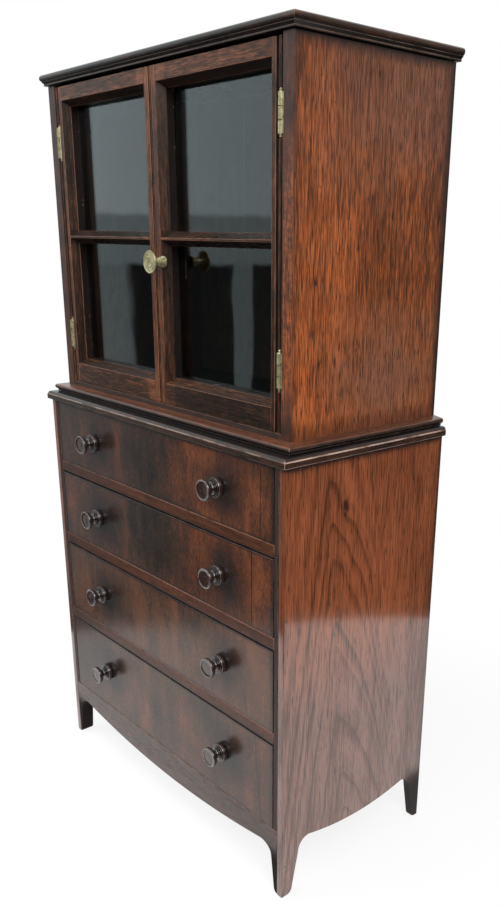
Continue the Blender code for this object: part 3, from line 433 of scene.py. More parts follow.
def makeFrontWood():
    s = startWood("drawerFrontVeneer")
    look = frontLook
    warpX = streaks(s, 34, 30, 70, 3.0, 0.55, 15.0)
    warpZ = blotches(s, 40, 48, 3.0, 19.0)
    slant = s.add("ShaderNodeMapping", None, {
        "Vector": s.place, "Rotation": (0, math.radians(24), 0), "Scale": (1 / 0.011, 1 / 0.02, 1 / 0.046)})
    figure = noise(s, slant, 4.0, 0.6, Distortion=1.1)
    tone = 0.42 + streaks(s, 0.28, 20, 110, 3.0, 0.55, 2.0) + streaks(s, 0.3, 1.6, 18, 3.0, 0.6, 9.0)
    tone = tone + (figure - 0.5) * 0.55 + blotches(s, 0.4, 40, 3.0, 33.0)
    u, v = s.x + warpX, s.z + warpZ
    for x, z, rx, rz, strength in look["patches"]:
        tone = tone + patchMask(s, u, v, (x, z), (rx * 1.25, rz * 1.2)) * strength
    # darker round each knob and shifted to its right: handling grime, and the knob's dark reflection painted
    # in
    haloU, haloV = s.x + warpX * 0.4, s.z + warpZ * 0.35
    centres = [(c.x / mm + look["haloShift"], c.z / mm) for c in knobCentres.values()]
    halo = s.most(*[patchMask(s, haloU, haloV, c, (look["haloReach"],) * 2) for c in centres])
    edges, ends = [], []
    half = drawerBoxes[1][1].x / mm
    back = drawerBoxes[1][1].y / mm
    endFace = s.step(abs(s.x), half - 0.9, half - 0.7)
    for low, high in drawerBoxes.values():
        # darker along the top and bottom of each front: painted shade of the gaps
        edges += [edgeMask(s, s.z, high.z / mm, 3.4) * 0.9, edgeMask(s, s.z, low.z / mm, 4.0) * 0.7]
        # lapped dovetails, seen with the drawer out
        beat = ((s.z - (low.z + high.z) / 2 / mm) / look["tail"] + 0.5) % 1.0
        flare = abs(beat - 0.5) + (back - s.y) * look["tailFlare"]
        tail = 1 - s.step(flare, look["tailHalf"], look["tailHalf"] + 0.02)
        ends.append(tail * s.band(s.z, low.z / mm + 2, high.z / mm - 2, 0.2))
    # darker at the ends of the fronts: painted shade of the gaps
    edges.append(s.step(abs(s.x), half - 6, half) * 0.85)
    wobble = streaks(s, 1.6, 4, 30, 2.0, 0.5, 61.0)
    cracks = s.most(*[lineMask(s, s.x, s.z, a, b, w, wobble) for a, b, w in look["cracks"]])
    front = 1 - s.step(s.y, chestFront / mm + 0.6, chestFront / mm + 1.2)
    tails = s.most(*ends) * endFace * s.step(s.y, back - look["tailDepth"], back - look["tailDepth"] + 0.3)
    dirtAndShade = s.most(halo * look["haloDark"] * front, *edges) * (1 - tails)
    lowerGolden = 1 - s.step(s.z + warpZ * 0.5, 222, 280)  # lighter and more golden on the lower drawers
    lowerGolden = lowerGolden * (0.12 + 0.3 * s.step(s.z + warpZ, 130, 180)) * front
    tone = tone + lowerGolden * 0.1
    filmAndSheen = (lowerGolden, look["lowerGoldenColour"])
    return closeWood(s, look, tone + tails * 0.5, dirtAndShade, cracks * front * 0.95, None, filmAndSheen)


railLook = {
    "stops": shades((0.070, 0.0245, 0.0120)), "dash": (1.2, 12.0), "fine": 0.9,
    "pores": (0.7, 7.0, 0.6, 0.45), "poreColour": (0.024, 0.012, 0.009),
    "wear": 0.7, "wearFrom": 0.3, "wornColour": (0.24, 0.115, 0.072), "dirtAndShadeColour": (0.014, 0.010, 0.009),
    "rough": 0.28, "smear": 0.14, "bump": 0.18, "specular": 0.32,
}
postLook = {**railLook, "stops": shades((0.030, 0.0165, 0.0130)), "rough": 0.5, "specular": 0.3, "wear": 0.3}
apronLook = {
    **railLook, "stops": shades((0.046, 0.023, 0.0165)), "rough": 0.2, "specular": 0.18, "wear": 0.5,
    "coat": 0.6, "coatRough": 0.14, "coatIor": 1.5,
}
# a darker copy for the floor and shelf inside the case: painted shade
shadedInsideLook = {**railLook, "stops": shades((0.030, 0.016, 0.011)), "rough": 0.5, "specular": 0.3, "wear": 0.3}
liningLook = {
    **railLook,
    "stops": [(0.15, (0.120, 0.066, 0.032)), (0.5, (0.250, 0.142, 0.070)), (0.9, (0.390, 0.245, 0.135))],
    "pores": (0.7, 12.0, 0.62, 0.4), "poreColour": (0.12, 0.062, 0.030),
    "wear": 0.4, "wornColour": (0.42, 0.29, 0.17), "dirtAndShadeColour": (0.070, 0.042, 0.026),
    "rough": 0.6, "smear": 0.1, "bump": 0.35, "specular": 0.3,
}
backLook = {
    **railLook,
    "stops": [(0.15, (0.062, 0.032, 0.018)), (0.5, (0.150, 0.080, 0.040)), (0.9, (0.270, 0.160, 0.085))],
    "pores": (1.1, 16.0, 0.6, 0.45), "poreColour": (0.060, 0.032, 0.018),
    "wear": 0.4, "wornColour": (0.30, 0.19, 0.11), "dirtAndShadeColour": (0.040, 0.025, 0.017),
    "rough": 0.68, "smear": 0.12, "bump": 0.5, "specular": 0.25,
}


def grimed(s, size, much):
    return s.step(cloud(s, size, 3.0, 23.0), 0.52, 0.75) * much


def makePlainWood(name, look, strength, grime, size):
    s = startWood(name)
    tone = plainGrain(s, 0.5, strength, strength * 0.8)
    return closeWood(s, look, tone, grimed(s, size, grime))


def makeRailWood():  # darker along the drawer gaps above and below: painted shade, with grime, and darker towards the left end
    s = startWood("dividerWood")
    tone = plainGrain(s, 0.47, 0.6, 0.5)
    edges = [grimed(s, 24, 0.4), (1 - s.step(s.x, -150, -20)) * 0.35]
    for number in (1, 2, 3):
        low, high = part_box(f"drawer_divider_{number}")
        # along the gaps: painted shade
        edges += [edgeMask(s, s.z, low.z / mm, 2.6) * 0.85, edgeMask(s, s.z, high.z / mm, 5.0) * 0.7]
    return closeWood(s, railLook, tone, s.most(*edges))


def makeApronWood():
    s = startWood("apronWood")
    tone = plainGrain(s, 0.5, 0.55, 0.45)
    foot = (1 - s.step(s.z, 32, 58)) * s.step(abs(s.x), 135, 165)  # kicked and dull
    dirtAndShade = s.most(grimed(s, 40, 0.4), foot * 0.95)
    return closeWood(s, apronLook, tone, dirtAndShade, foot * 0.8, None, None, foot * 0.6)


def makeBackWood():
    s = startWood("backboardWood")
    lift = s.add("ShaderNodeAttribute", {"attribute_name": "plank"}, None, out="Fac")
    ny = s.split(s.add("ShaderNodeNewGeometry", None, None, out="Normal"))[1]
    tone = plainGrain(s, 0.5 + lift, 0.6, 0.5)
    insideShade = s.step(0 - ny, 0.5, 0.9) * 0.75  # the face that looks into the case, darkened: painted shade inside the case
    return closeWood(s, backLook, tone, s.most(grimed(s, 60, 0.45), insideShade))


doorLook = {
    "stops": [(0.12, (0.006, 0.0042, 0.0036)), (0.40, (0.021, 0.0112, 0.0075)),
              (0.62, (0.060, 0.023, 0.0110)), (0.9, (0.165, 0.060, 0.026))],
    "dash": (0.9, 11.0), "fine": 1.1,
    "pores": (0.7, 7.0, 0.58, 0.5), "poreColour": (0.012, 0.008, 0.007),
    "wear": 0.9, "wearFrom": 0.26, "wornColour": (0.23, 0.105, 0.058), "dirtAndShadeColour": (0.009, 0.007, 0.007),
    "rough": 0.27, "smear": 0.16, "bump": 0.22, "specular": 0.22,
    "bevel": 7.1, "glass": 14.3, "hangingEdge": 161.7, "putty": (0.30, 0.25, 0.19),
    "pinHole": (-133.0, 683.5),
}


def makeDoorWood():  # dark frames, crumbs of old putty along the glass
    s = startWood("doorFrameWood")
    look = doorLook
    tone = 0.42 + streaks(s, 0.75, 8, 120, 3.0, 0.55, 2.0) + streaks(s, 0.5, 1.8, 36, 3.0, 0.6, 9.0)
    depth = s.y - caseFront / mm
    face = 1 - s.step(depth, 0.2, 0.5)
    bevel = s.band(depth, 0.5, look["bevel"] + 0.1, 0.4)
    rebate = s.step(depth, look["bevel"], look["bevel"] + 0.6)
    nz = s.split(s.add("ShaderNodeNewGeometry", None, None, out="Normal"))[2]
    low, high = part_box("right_door_glazing_bar")
    bar = s.band(s.z, low.z / mm - 1, high.z / mm + 1, 0.5) * (1 - face)
    rightward = s.step(s.x, -5, 15)
    # bevels that face down are darker: painted shade
    tone = tone + bevel * (0.02 - s.step(0 - nz, 0.2, 0.6) * 0.24) - bar * 0.14
    tone = tone + face * (1 - s.step(abs(s.x), 19, 23)) * 0.17 + face * s.step(abs(s.x), 150, 153) * 0.05
    tone = tone + face * s.step(s.z, 660, 690) * (0.22 - 0.06 * rightward)
    tone = tone - face * (1 - s.step(s.z, 425, 470)) * (rightward * 0.18 - 0.13)
    puttyLine = s.band(depth, look["glass"] - 1.5, look["glass"] + 0.3, 0.3)
    crumbs = s.step(cloud(s, 9.0, 4.0, 71.0), 0.61, 0.66) * puttyLine
    crumbs = crumbs * s.band(abs(s.x), 4, look["hangingEdge"] - 3, 1)
    # the quirk by the bead, darkened: painted shade
    gap = s.step(abs(s.x), look["hangingEdge"] - 5.6, look["hangingEdge"] - 5.2) * s.step(depth, 0.7, 1.3)
    meeting = (1 - s.step(abs(s.x), 1.6, 2.4)) * s.step(depth, 0.5, 1.0)
    # dark in the rebates, the quirk and the meeting gap: painted shade; the blotches are grime
    dirtAndShade = s.most(s.step(cloud(s, 22, 3.0, 23.0), 0.5, 0.75) * 0.35, rebate * 0.85, gap * 0.95, meeting * 0.9)
    hole = dotMask(s, s.x, s.z, [look["pinHole"]], 1.0) * face
    filmAndSheen = (crumbs * 0.6, look["putty"])
    return closeWood(s, look, tone + crumbs * 0.5, dirtAndShade * (1 - crumbs), hole * 0.9, None, filmAndSheen)


mouldLook = {
    "stops": [(0.12, (0.005, 0.0038, 0.0034)), (0.40, (0.017, 0.0105, 0.0082)),
              (0.62, (0.050, 0.021, 0.0125)), (0.92, (0.150, 0.052, 0.025))],
    "dash": (1.1, 14.0), "fine": 0.7,
    "pores": (0.7, 8.0, 0.62, 0.35), "poreColour": (0.012, 0.008, 0.007),
    # the pale worn colour is mostly a painted highlight on the arrises
    "wear": 0.9, "wearFrom": 0.2, "wornColour": (0.46, 0.33, 0.26), "dirtAndShadeColour": (0.008, 0.006, 0.006),
    "rough": 0.24, "smear": 0.14, "bump": 0.16, "specular": 0.5,
}


def makeMouldWood(name, creaseShades, tint, sideLitTint, topLitTint, underShadeTint, wear):  # painted light and shade by which way each face turns: lighter up and sideways, darker down
    s = startWood(name)
    nx, nz = s.split(s.add("ShaderNodeNewGeometry", None, None, out="Normal"))[::2]
    tone = 0.45 + tint + streaks(s, 0.5, 9, 120, 3.0, 0.55, 2.0) + streaks(s, 0.4, 2.0, 46, 3.0, 0.6, 9.0)
    tone = tone + s.step(abs(nx), 0.5, 0.9) * sideLitTint
    tone = tone + s.step(nz, 0.3, 0.8) * topLitTint - s.step(0 - nz, 0.3, 0.8) * underShadeTint
    # darker on faces turned down and in the quirks: painted shade; the blotches are grime
    dirtAndShade = s.most(s.step(cloud(s, 26, 3.0, 23.0), 0.52, 0.76) * 0.4, s.step(0 - nz, 0.4, 0.9) * 0.95,
                  *[edgeMask(s, s.z, z / mm, reach) * 0.95 for z, reach in creaseShades])
    # lighter arris lines, strongest on faces turned sideways: wear, and a painted highlight
    rubAndHighlight = s.step(cloud(s, 26.0, 4.0, 5.0), 0.3, 0.58) * wear * (0.4 + 0.6 * s.step(abs(nx), 0.25, 0.65))
    return closeWood(s, mouldLook, tone, dirtAndShade, None, rubAndHighlight)


turnedLook = {
    "stops": [(0.15, (0.008, 0.0055, 0.005)), (0.5, (0.019, 0.0095, 0.0075)), (0.9, (0.060, 0.020, 0.013))],
    "dash": (0.8, 6.0), "fine": 0.4,
    "pores": (0.5, 3.5, 0.6, 0.4), "poreColour": (0.012, 0.008, 0.007),
    "wear": 0.0, "wearFrom": 0.3, "wornColour": (0.13, 0.07, 0.05), "dirtAndShadeColour": (0.008, 0.006, 0.006),
    "rimHighlightColour": (0.26, 0.225, 0.212),
    "rough": 0.1, "smear": 0.06, "bump": 0.08, "specular": 0.5, "coat": 0.6, "coatRough": 0.04,
}


def makeTurnedWood():
    s = startWood("turnedKnobWood")
    depth = chestFront / mm - s.y
    tone = 0.48 + streaks(s, 0.7, 3.5, 18, 3.0, 0.55, 2.0) + s.step(depth, 14.5, 15.6) * 0.08
    # darker at the foot and in the neck: painted shade
    dirtAndShade = s.most((1 - s.step(depth, 0.8, 2.6)) * 0.6, s.band(depth, 5.0, 11.0, 1.5) * 0.6)
    # pale rings on the rims: painted highlights
    rimHighlights = s.most(s.step(depth, 16.15, 16.38) * 0.5, s.band(depth, 4.5, 5.2, 0.3) * 0.2,
                  s.band(depth, 13.4, 14.4, 0.5) * 0.08)
    rimHighlights = rimHighlights * (0.3 + 0.9 * s.step(cloud(s, 7.0, 3.0, 13.0), 0.3, 0.6))
    return closeWood(s, turnedLook, tone, dirtAndShade * (1 - rimHighlights), None, None, (rimHighlights, turnedLook["rimHighlightColour"]))


brassLook = {
    "bright": (0.48, 0.43, 0.245), "dull": (0.31, 0.265, 0.14), "dark": (0.07, 0.055, 0.03),
    "rough": 0.36, "metal": 0.65,
}


def makeBrass():
    s = newMaterial("agedBrass")
    look = brassLook
    mottle = cloud(s, 4.5, 4.0, 3.0)
    spots = s.step(cloud(s, 2.2, 3.0, 9.0), 0.55, 0.66)
    scuffs = cloud(s, 1.2, 2.0, 15.0)
    colour = s.mix(s.step(mottle, 0.34, 0.62), look["bright"], look["dull"])
    colour = s.mix(spots * 0.8, colour, look["dark"])
    rough = look["rough"] + (mottle - 0.5) * 0.25 + spots * 0.2
    normal = s.add("ShaderNodeBump", None, {"Strength": 0.15, "Distance": 0.0001, "Height": scuffs - spots})
    varied = {"Base Color": colour, "Roughness": rough, "Normal": normal}
    return closeMaterial(s, {"Metallic": look["metal"]}, varied)


glassLook = {"tint": (0.86, 0.92, 0.91), "ior": 1.5, "ripple": 0.05}


def makeGlass():
    s = newMaterial("windowGlass")
    ripple = cloud(s, 55.0, 1.0, 2.0)
    normal = s.add("ShaderNodeBump", None, {
        "Strength": glassLook["ripple"], "Distance": 0.001, "Height": ripple})
    dust = s.step(cloud(s, 14.0, 4.0, 6.0), 0.45, 0.8)
    fixed = {"Transmission Weight": 1.0, "IOR": glassLook["ior"], "Base Color": (*glassLook["tint"], 1.0)}
    return closeMaterial(s, fixed, {"Roughness": dust * 0.05, "Normal": normal})


def makeIron(name, fresh, rusted):
    s = newMaterial(name)
    rust = s.step(cloud(s, 1.6, 3.0, 4.0), 0.4, 0.65)
    varied = {"Base Color": s.mix(rust, fresh, rusted), "Roughness": 0.5 + rust * 0.3}
    return closeMaterial(s, {"Metallic": 0.7}, varied)


woods = {
    "caseSide": makeCaseSideWood(), "chestSide": makeChestSideWood(), "front": makeFrontWood(),
    "door": makeDoorWood(), "rail": makeRailWood(), "apron": makeApronWood(),
    "post": makePlainWood("postWood", postLook, strength=0.5, grime=0.3, size=24.0),
    "cornice": makeMouldWood(
        "corniceWood", [(corniceUnder, 1.2)],
        tint=-0.06, sideLitTint=0.13, topLitTint=0.22, underShadeTint=0.1, wear=0.28),
    "waist": makeMouldWood(
        "chestTopWood", [(chestTop, 1.8), (chestTopUnder, 1.0)],
        tint=0.0, sideLitTint=0.10, topLitTint=0.05, underShadeTint=0.25, wear=1.0),
    "skirting": makeMouldWood(
        "baseMouldingWood", [(skirtingUnder, 2.4)],
        tint=0.0, sideLitTint=0.10, topLitTint=0.28, underShadeTint=0.35, wear=0.5),
    "inside": makePlainWood("shadedInsideWood", shadedInsideLook, strength=0.6, grime=0.35, size=40.0),
    "lining": makePlainWood("drawerLiningWood", liningLook, strength=0.5, grime=0.3, size=50.0),
    "back": makeBackWood(), "turned": makeTurnedWood(),
}
brass, glass = makeBrass(), makeGlass()
iron = makeIron("nailIron", fresh=(0.055, 0.050, 0.047), rusted=(0.12, 0.055, 0.028))
# the slot's dark colour: its painted shade and dirt
slotShadeAndDirt = makeIron("screwSlotShadeAndDirt", fresh=(0.020, 0.017, 0.012), rusted=(0.035, 0.026, 0.016))
print("finishes made:", len(bpy.data.materials))

nodeBody = {node: obj["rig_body"] for node, obj in frame["nodes"].items()}


def meshPiece(name, mesh, material, body, nodes=()):
    piece = bpy.data.objects.new(name, mesh)
    scene.collection.objects.link(piece)
    if material is not None:
        mesh.materials.clear()
        mesh.materials.append(material)
    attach(piece, body)
    if nodes:
        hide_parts(*nodes)
    return piece


def layGrain(mesh, along, shift=0.0, outer=None):  # each corner's place across, into and along the grain
    if "grain" in mesh.attributes:
        mesh.attributes.remove(mesh.attributes["grain"])
    layer = mesh.attributes.new("grain", "FLOAT_VECTOR", "CORNER")
    order = {"x": (2, 1, 0), "y": (2, 0, 1), "z": (0, 1, 2), "side": (1, 0, 2)}
    values = []
    for face in mesh.polygons:
        run = along
        if along == "turn":  # a moulding turns the corner at its mitre
            centre = face.center
            run = "y" if outer[0] - abs(centre.x) < centre.y - outer[1] else "x"
        for corner in face.loop_indices:
            point = mesh.vertices[mesh.loops[corner].vertex_index].co
            values += [point[i] * toMm + shift for i in order[run]]
    layer.data.foreach_set("vector", values)


def bakedMesh(holder):  # what the holder's modifiers give, as a plain mesh
    depsgraph = bpy.context.evaluated_depsgraph_get()
    done = bpy.data.meshes.new_from_object(
        holder.evaluated_get(depsgraph), preserve_all_data_layers=True, depsgraph=depsgraph)
    bpy.data.objects.remove(holder)
    return done


def freedMesh(bm, name):
    mesh = bpy.data.meshes.new(name)
    bm.to_mesh(mesh)
    bm.free()
    return mesh


def evenNormals(mesh, angle=40.0):  # smooth over the eased edges, flat on the flats
    mesh.shade_smooth()
    mesh.set_sharp_from_angle(angle=math.radians(angle))
    holder = bpy.data.objects.new("holder", mesh)
    scene.collection.objects.link(holder)
    weighted = holder.modifiers.new("flats", "WEIGHTED_NORMAL")
    weighted.keep_sharp = True
    return bakedMesh(holder)


weldGap = 4e-6
seamGap = 2e-6
flatAngle = math.radians(0.6)
arrisAngle = math.radians(34)


def packedCopy(node):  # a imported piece, welded, each flat one face
    bm = bmesh.new()
    bm.from_mesh(frame["nodes"][node].data)
    bmesh.ops.remove_doubles(bm, verts=bm.verts, dist=weldGap)
    bmesh.ops.dissolve_limit(bm, angle_limit=flatAngle, verts=bm.verts, edges=bm.edges)
    return bm


def takeOff(bm, width, angle):  # rounds the arrises sharper than angle, gives the new faces
    sharp = [e for e in bm.edges if e.calc_face_angle(0.0) > angle]
    eased = bmesh.ops.bevel(
        bm, geom=sharp, offset=width, offset_type="OFFSET", segments=2, profile=0.5, affect="EDGES",
        clamp_overlap=True)
    return eased["faces"]


def easedMesh(node, width):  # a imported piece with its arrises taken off
    bm = packedCopy(node)
    for layer in list(bm.loops.layers.uv):
        bm.loops.layers.uv.remove(layer)
    worn = bm.faces.layers.float.new("arris")
    for face in takeOff(bm, width, arrisAngle):
        face[worn] = 1.0
    return evenNormals(freedMesh(bm, node))


# node: wood, grain, easing in mm, slot
boards = {
    "chest_side_right": ("chestSide", "side", 0.7, "figured_mahogany"),
    "chest_side_left": ("chestSide", "side", 0.7, "figured_mahogany"),
    "front_post_right": ("post", "z", 0.4, "dark_moulding"),
    "front_post_left": ("post", "z", 0.4, "dark_moulding"),
    "front_apron": ("apron", "x", 0.6, "figured_mahogany"),
    "chest_floor": ("back", "x", 0.4, "backboard"),
    "chest_top": ("waist", "turn", 0.35, "dark_moulding"),
    "cabinet_side_right": ("caseSide", "side", 0.5, "straight_mahogany"),
    "cabinet_side_left": ("caseSide", "side", 0.5, "straight_mahogany"),
    "base_moulding": ("skirting", "turn", 0.3, "dark_moulding"),
    "cabinet_top": ("cornice", "turn", 0.35, "dark_moulding"),
    "cabinet_floor": ("inside", "x", 0.5, "straight_mahogany"),
    "shelf": ("inside", "x", 0.6, "straight_mahogany"),
}
for number in (1, 2, 3):
    boards[f"drawer_divider_{number}"] = ("rail", "x", 0.5, "dark_moulding")
for number in (1, 2, 3, 4):
    boards[f"drawer_{number}_front"] = ("front", "z", 0.55, "figured_mahogany")
    boards[f"drawer_{number}_box"] = ("lining", "y", 0.4, "drawer_lining")
for word in ("left", "right"):
    for part in ("hanging_stile", "meeting_stile"):
        boards[f"{word}_door_{part}"] = ("door", "z", 0.3, "dark_moulding")
    for part in ("top_rail", "bottom_rail", "glazing_bar"):
        boards[f"{word}_door_{part}"] = ("door", "x", 0.3, "dark_moulding")
    boards[f"{word}_door_pane_fillet"] = ("door", "z", 0.25, "dark_moulding")

grainShift = 137.0  # so that no two boards look cut from one place
for index, (node, (wood, grain, easing, slot)) in enumerate(boards.items()):
    mesh = easedMesh(node, easing * mm)
    low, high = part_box(node)
    shift = 0.0 if wood in ("front", "chestSide") else grainShift * index
    layGrain(mesh, grain, shift, (high.x, low.y))
    meshPiece(node + ".eased", mesh, woods[wood], nodeBody[node], [node])
print("boards eased:", len(boards))


plankLook = {  # node: across, grain, boards
    "chest_back": (2, "x", 4), "cabinet_back": (0, "z", 4),
    "ease": 0.9, "gap": 0.3, "sharp": 0.6, "grainShift": 61.0, "tones": (0.05, -0.09, 0.1, -0.03),
}


def plankedMesh(node, across, grain, count):  # saws a packed backboard into boards with eased arrises
    low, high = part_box(node)
    wide = (high[across] - low[across]) / count
    packed = packedCopy(node)
    joined = bmesh.new()
    for number in range(count):
        board = packed.copy()
        for end, side in ((number, -1), (number + 1, 1)):
            if end in (0, count):
                continue
            place, way = Vector(), Vector()
            place[across] = low[across] + wide * end - side * plankLook["gap"] / 2 * mm
            way[across] = side
            whole = [*board.verts, *board.edges, *board.faces]
            sawn = bmesh.ops.bisect_plane(
                board, geom=whole, plane_co=place, plane_no=way, clear_outer=True)
            rim = [e for e in sawn["geom_cut"] if isinstance(e, bmesh.types.BMEdge)]
            bmesh.ops.contextual_create(board, geom=rim)
        bmesh.ops.recalc_face_normals(board, faces=board.faces)
        eased = set(takeOff(board, plankLook["ease"] * mm, plankLook["sharp"]))
        worn, lift = [board.faces.layers.float.new(label) for label in ("arris", "plank")]
        for face in board.faces:
            face[worn], face[lift] = float(face in eased), plankLook["tones"][number]
        part = freedMesh(board, "board")
        layGrain(part, grain, plankLook["grainShift"] * number)
        joined.from_mesh(part)
        bpy.data.meshes.remove(part)
    packed.free()
    return evenNormals(freedMesh(joined, node))


for node in ("chest_back", "cabinet_back"):
    mesh = plankedMesh(node, *plankLook[node])
    meshPiece(node + ".boards", mesh, woods["back"], nodeBody[node], [node])
print("backboards sawn")


def newShape(name, inputs):  # an empty geometry tree with its named inputs
    tree = bpy.data.node_groups.new(name, "GeometryNodeTree")
    tree.is_modifier = True
    g = Shade(tree)
    tree.interface.new_socket(name="Geometry", in_out="OUTPUT", socket_type="NodeSocketGeometry")
    for label, kind in [("Points", "NodeSocketGeometry"), *inputs]:
        tree.interface.new_socket(name=label, in_out="INPUT", socket_type=kind)
    entry = tree.nodes.new("NodeGroupInput")
    g.given = {socket.name: Wire(g, socket) for socket in entry.outputs if socket.name}
    return g


def closeShape(g, geometry, material):
    real = g.add("GeometryNodeRealizeInstances", None, {"Geometry": geometry})
    done = g.add("GeometryNodeSetMaterial", None, {"Geometry": real, "Material": material})
    g.add("NodeGroupOutput", None, {"Geometry": done})
    return g.tree


def pointMesh(name, points):
    mesh = bpy.data.meshes.new(name)
    mesh.from_pydata([tuple(p) for p in points], [], [])
    return mesh


def growMesh(name, tree, points, values):  # runs a tree on some points and keeps the plain mesh
    holder = bpy.data.objects.new(name, pointMesh(name, points))
    scene.collection.objects.link(holder)
    modifier = holder.modifiers.new(name, "NODES")
    modifier.node_group = tree
    for item in tree.interface.items_tree:
        if item.item_type == "SOCKET" and item.in_out == "INPUT" and item.name in values:
            modifier[item.identifier] = values[item.name]
    mesh = bakedMesh(holder)
    bm = bmesh.new()
    bm.from_mesh(mesh)
    bmesh.ops.remove_doubles(bm, verts=bm.verts, dist=seamGap)
    bmesh.ops.recalc_face_normals(bm, faces=bm.faces)
    bm.to_mesh(mesh)
    bm.free()
    return mesh


def makeTurningShape():  # sweeps a profile round the y axis, head towards the front, at each point
    g = newShape("turning", [("Profile", "NodeSocketObject"), ("Profile Points", "NodeSocketInt"),
                             ("Sides", "NodeSocketInt"), ("Finish", "NodeSocketMaterial")])
    count, sides = g.given["Profile Points"], g.given["Sides"]
    profile = g.add("GeometryNodeObjectInfo", None, {"Object": g.given["Profile"]}, out="Geometry")
    sheet = g.add("GeometryNodeMeshGrid", None, {"Vertices X": count, "Vertices Y": sides + 1})
    index = g.add("GeometryNodeInputIndex")
    turn = index % (sides + 1)
    step = (index - turn) / (sides + 1)
    here = g.add("GeometryNodeInputPosition")
    point = g.add("GeometryNodeSampleIndex", {"data_type": "FLOAT_VECTOR", "domain": "POINT"},
                  {"Geometry": profile, "Value": here, "Index": step})
    radius, reach = g.split(point)[:2]
    angle = turn * (2 * math.pi) / sides
    place = g.add("ShaderNodeCombineXYZ", None, {
        0: radius * g.calc("COSINE", angle, 0.0), 1: 0 - reach, 2: radius * g.calc("SINE", angle, 0.0)})
    turned = g.add("GeometryNodeSetPosition", None, {"Geometry": sheet, "Position": place})
    closed = g.add("GeometryNodeMergeByDistance", None, {"Geometry": turned, "Distance": 1e-6})
    smooth = g.add("GeometryNodeSetShadeSmooth", None, {"Geometry": closed})
    stood = g.add("GeometryNodeInstanceOnPoints", None, {"Points": g.given["Points"], "Instance": smooth})
    return closeShape(g, stood, g.given["Finish"])


def roundedRing(radius, low, high, bulge, steps=6):  # a half-round ring of a turning
    middle, rise = (low + high) / 2, (high - low) / 2
    angles = [math.pi * (i / steps - 0.5) for i in range(steps + 1)]
    return [(radius - bulge + bulge * math.cos(a), middle + rise * math.sin(a)) for a in angles]


woodKnobLook = {  # radius and reach from the drawer's face, mm
    "sides": 64,
    "profile": [(0, 0.3), (8.3, 0.3), *roundedRing(9.0, 0.35, 5.2, 0.7, 8), (7.75, 5.0),
                *roundedRing(7.35, 5.05, 5.95, 0.45), (6.2, 5.75), *roundedRing(5.8, 5.8, 6.75, 0.45),
                (4.75, 6.95), (4.2, 7.5), (3.9, 8.2), (3.8, 9.0), (3.95, 9.8), (4.4, 10.4), (5.3, 10.9),
                (6.6, 11.35), (7.8, 12.0), (8.7, 12.9), (9.15, 13.8), (9.3, 14.6), (9.28, 15.3),
                (9.1, 15.9), (8.75, 16.28), (8.35, 16.4), (8.0, 16.3), (7.7, 16.05), (7.2, 15.85),
                (5.0, 15.8), (2.2, 15.95), (0, 16.0)],
}
brassKnobLook = {  # radius and reach from the door's face, mm
    "sides": 56,
    "profile": [(0, -1.1), (4.75, -1.1), *roundedRing(4.8, -0.8, 0.6, 0.5), (3.6, 0.9),
                *roundedRing(4.2, 1.1, 2.7, 0.7), (2.9, 3.0), *roundedRing(3.6, 3.2, 4.9, 0.7),
                (2.4, 5.2), (2.15, 6.0), (2.1, 8.6), (2.3, 9.6), (3.2, 10.2), (5.2, 10.7), (7.2, 11.2),
                (8.6, 11.8), *roundedRing(9.4, 12.0, 13.75, 0.6), (8.3, 13.55), (7.9, 13.35), (6.9, 13.3),
                (6.7, 13.42), (6.5, 13.3), (4.4, 13.35), (4.2, 13.48), (4.0, 13.36), (1.5, 13.5),
                (1.2, 13.45), (1.1, 13.1), (0, 13.1)],
}
knobSharp = math.radians(55)
knobGrainShift = 132.0


def turnKnobs(name, look, tree, places, finish):
    points = [(radius * mm, reach * mm, 0) for radius, reach in look["profile"]]
    profile = bpy.data.objects.new(name + ".profile", pointMesh(name, points))
    scene.collection.objects.link(profile)
    mesh = growMesh(name, tree, places, {
        "Profile": profile, "Profile Points": len(points), "Sides": look["sides"], "Finish": finish})
    bpy.data.objects.remove(profile)
    mesh.shade_smooth()
    mesh.set_sharp_from_angle(angle=knobSharp)
    layGrain(mesh, "y", knobGrainShift)
    return mesh


turning = makeTurningShape()
for number in drawerBoxes:
    nodes = [f"drawer_{number}_knob_left", f"drawer_{number}_knob_right"]
    places = [knobCentres[number, "left"], knobCentres[number, "right"]]
    mesh = turnKnobs(f"drawer{number}Knobs", woodKnobLook, turning, places, woods["turned"])
    meshPiece(f"drawer{number}Knobs", mesh, None, nodeBody[nodes[0]], nodes)
low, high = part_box("turn_knob")
middle = (low + high) / 2
mesh = turnKnobs("brassKnob", brassKnobLook, turning, [(middle.x, caseFront, middle.z)], brass)
meshPiece("brassKnob", mesh, None, nodeBody["turn_knob"], ["turn_knob"])
print("knobs turned")


def standTwisted(g, instance, facing, most, seed):  # one at each point, each turned by chance
    index = g.add("GeometryNodeInputIndex")
    chance = {"Min": 0.0, "Max": most, "ID": index, "Seed": seed}
    twist = g.add("FunctionNodeRandomValue", {"data_type": "FLOAT"}, chance, out=1)
    spun = g.add("ShaderNodeCombineXYZ", None, {2: twist})
    settings = {"rotation_type": "EULER", "space": "LOCAL"}
    turned = g.add("FunctionNodeRotateEuler", settings, {"Rotation": facing, "Rotate By": spun})
    return g.add("GeometryNodeInstanceOnPoints", None, {
        "Points": g.given["Points"], "Instance": instance, "Rotation": turned})


screwLook = {  # mm, the slot in shares of the head
    "radius": 1.5, "rise": 0.30, "sides": 20, "rows": (-7.5, 0.0, 7.5), "inset": 5.0,
    "slotLong": 1.7, "slotWide": 0.26, "slotLift": 0.2, "twist": 3.1, "seed": 7,
}


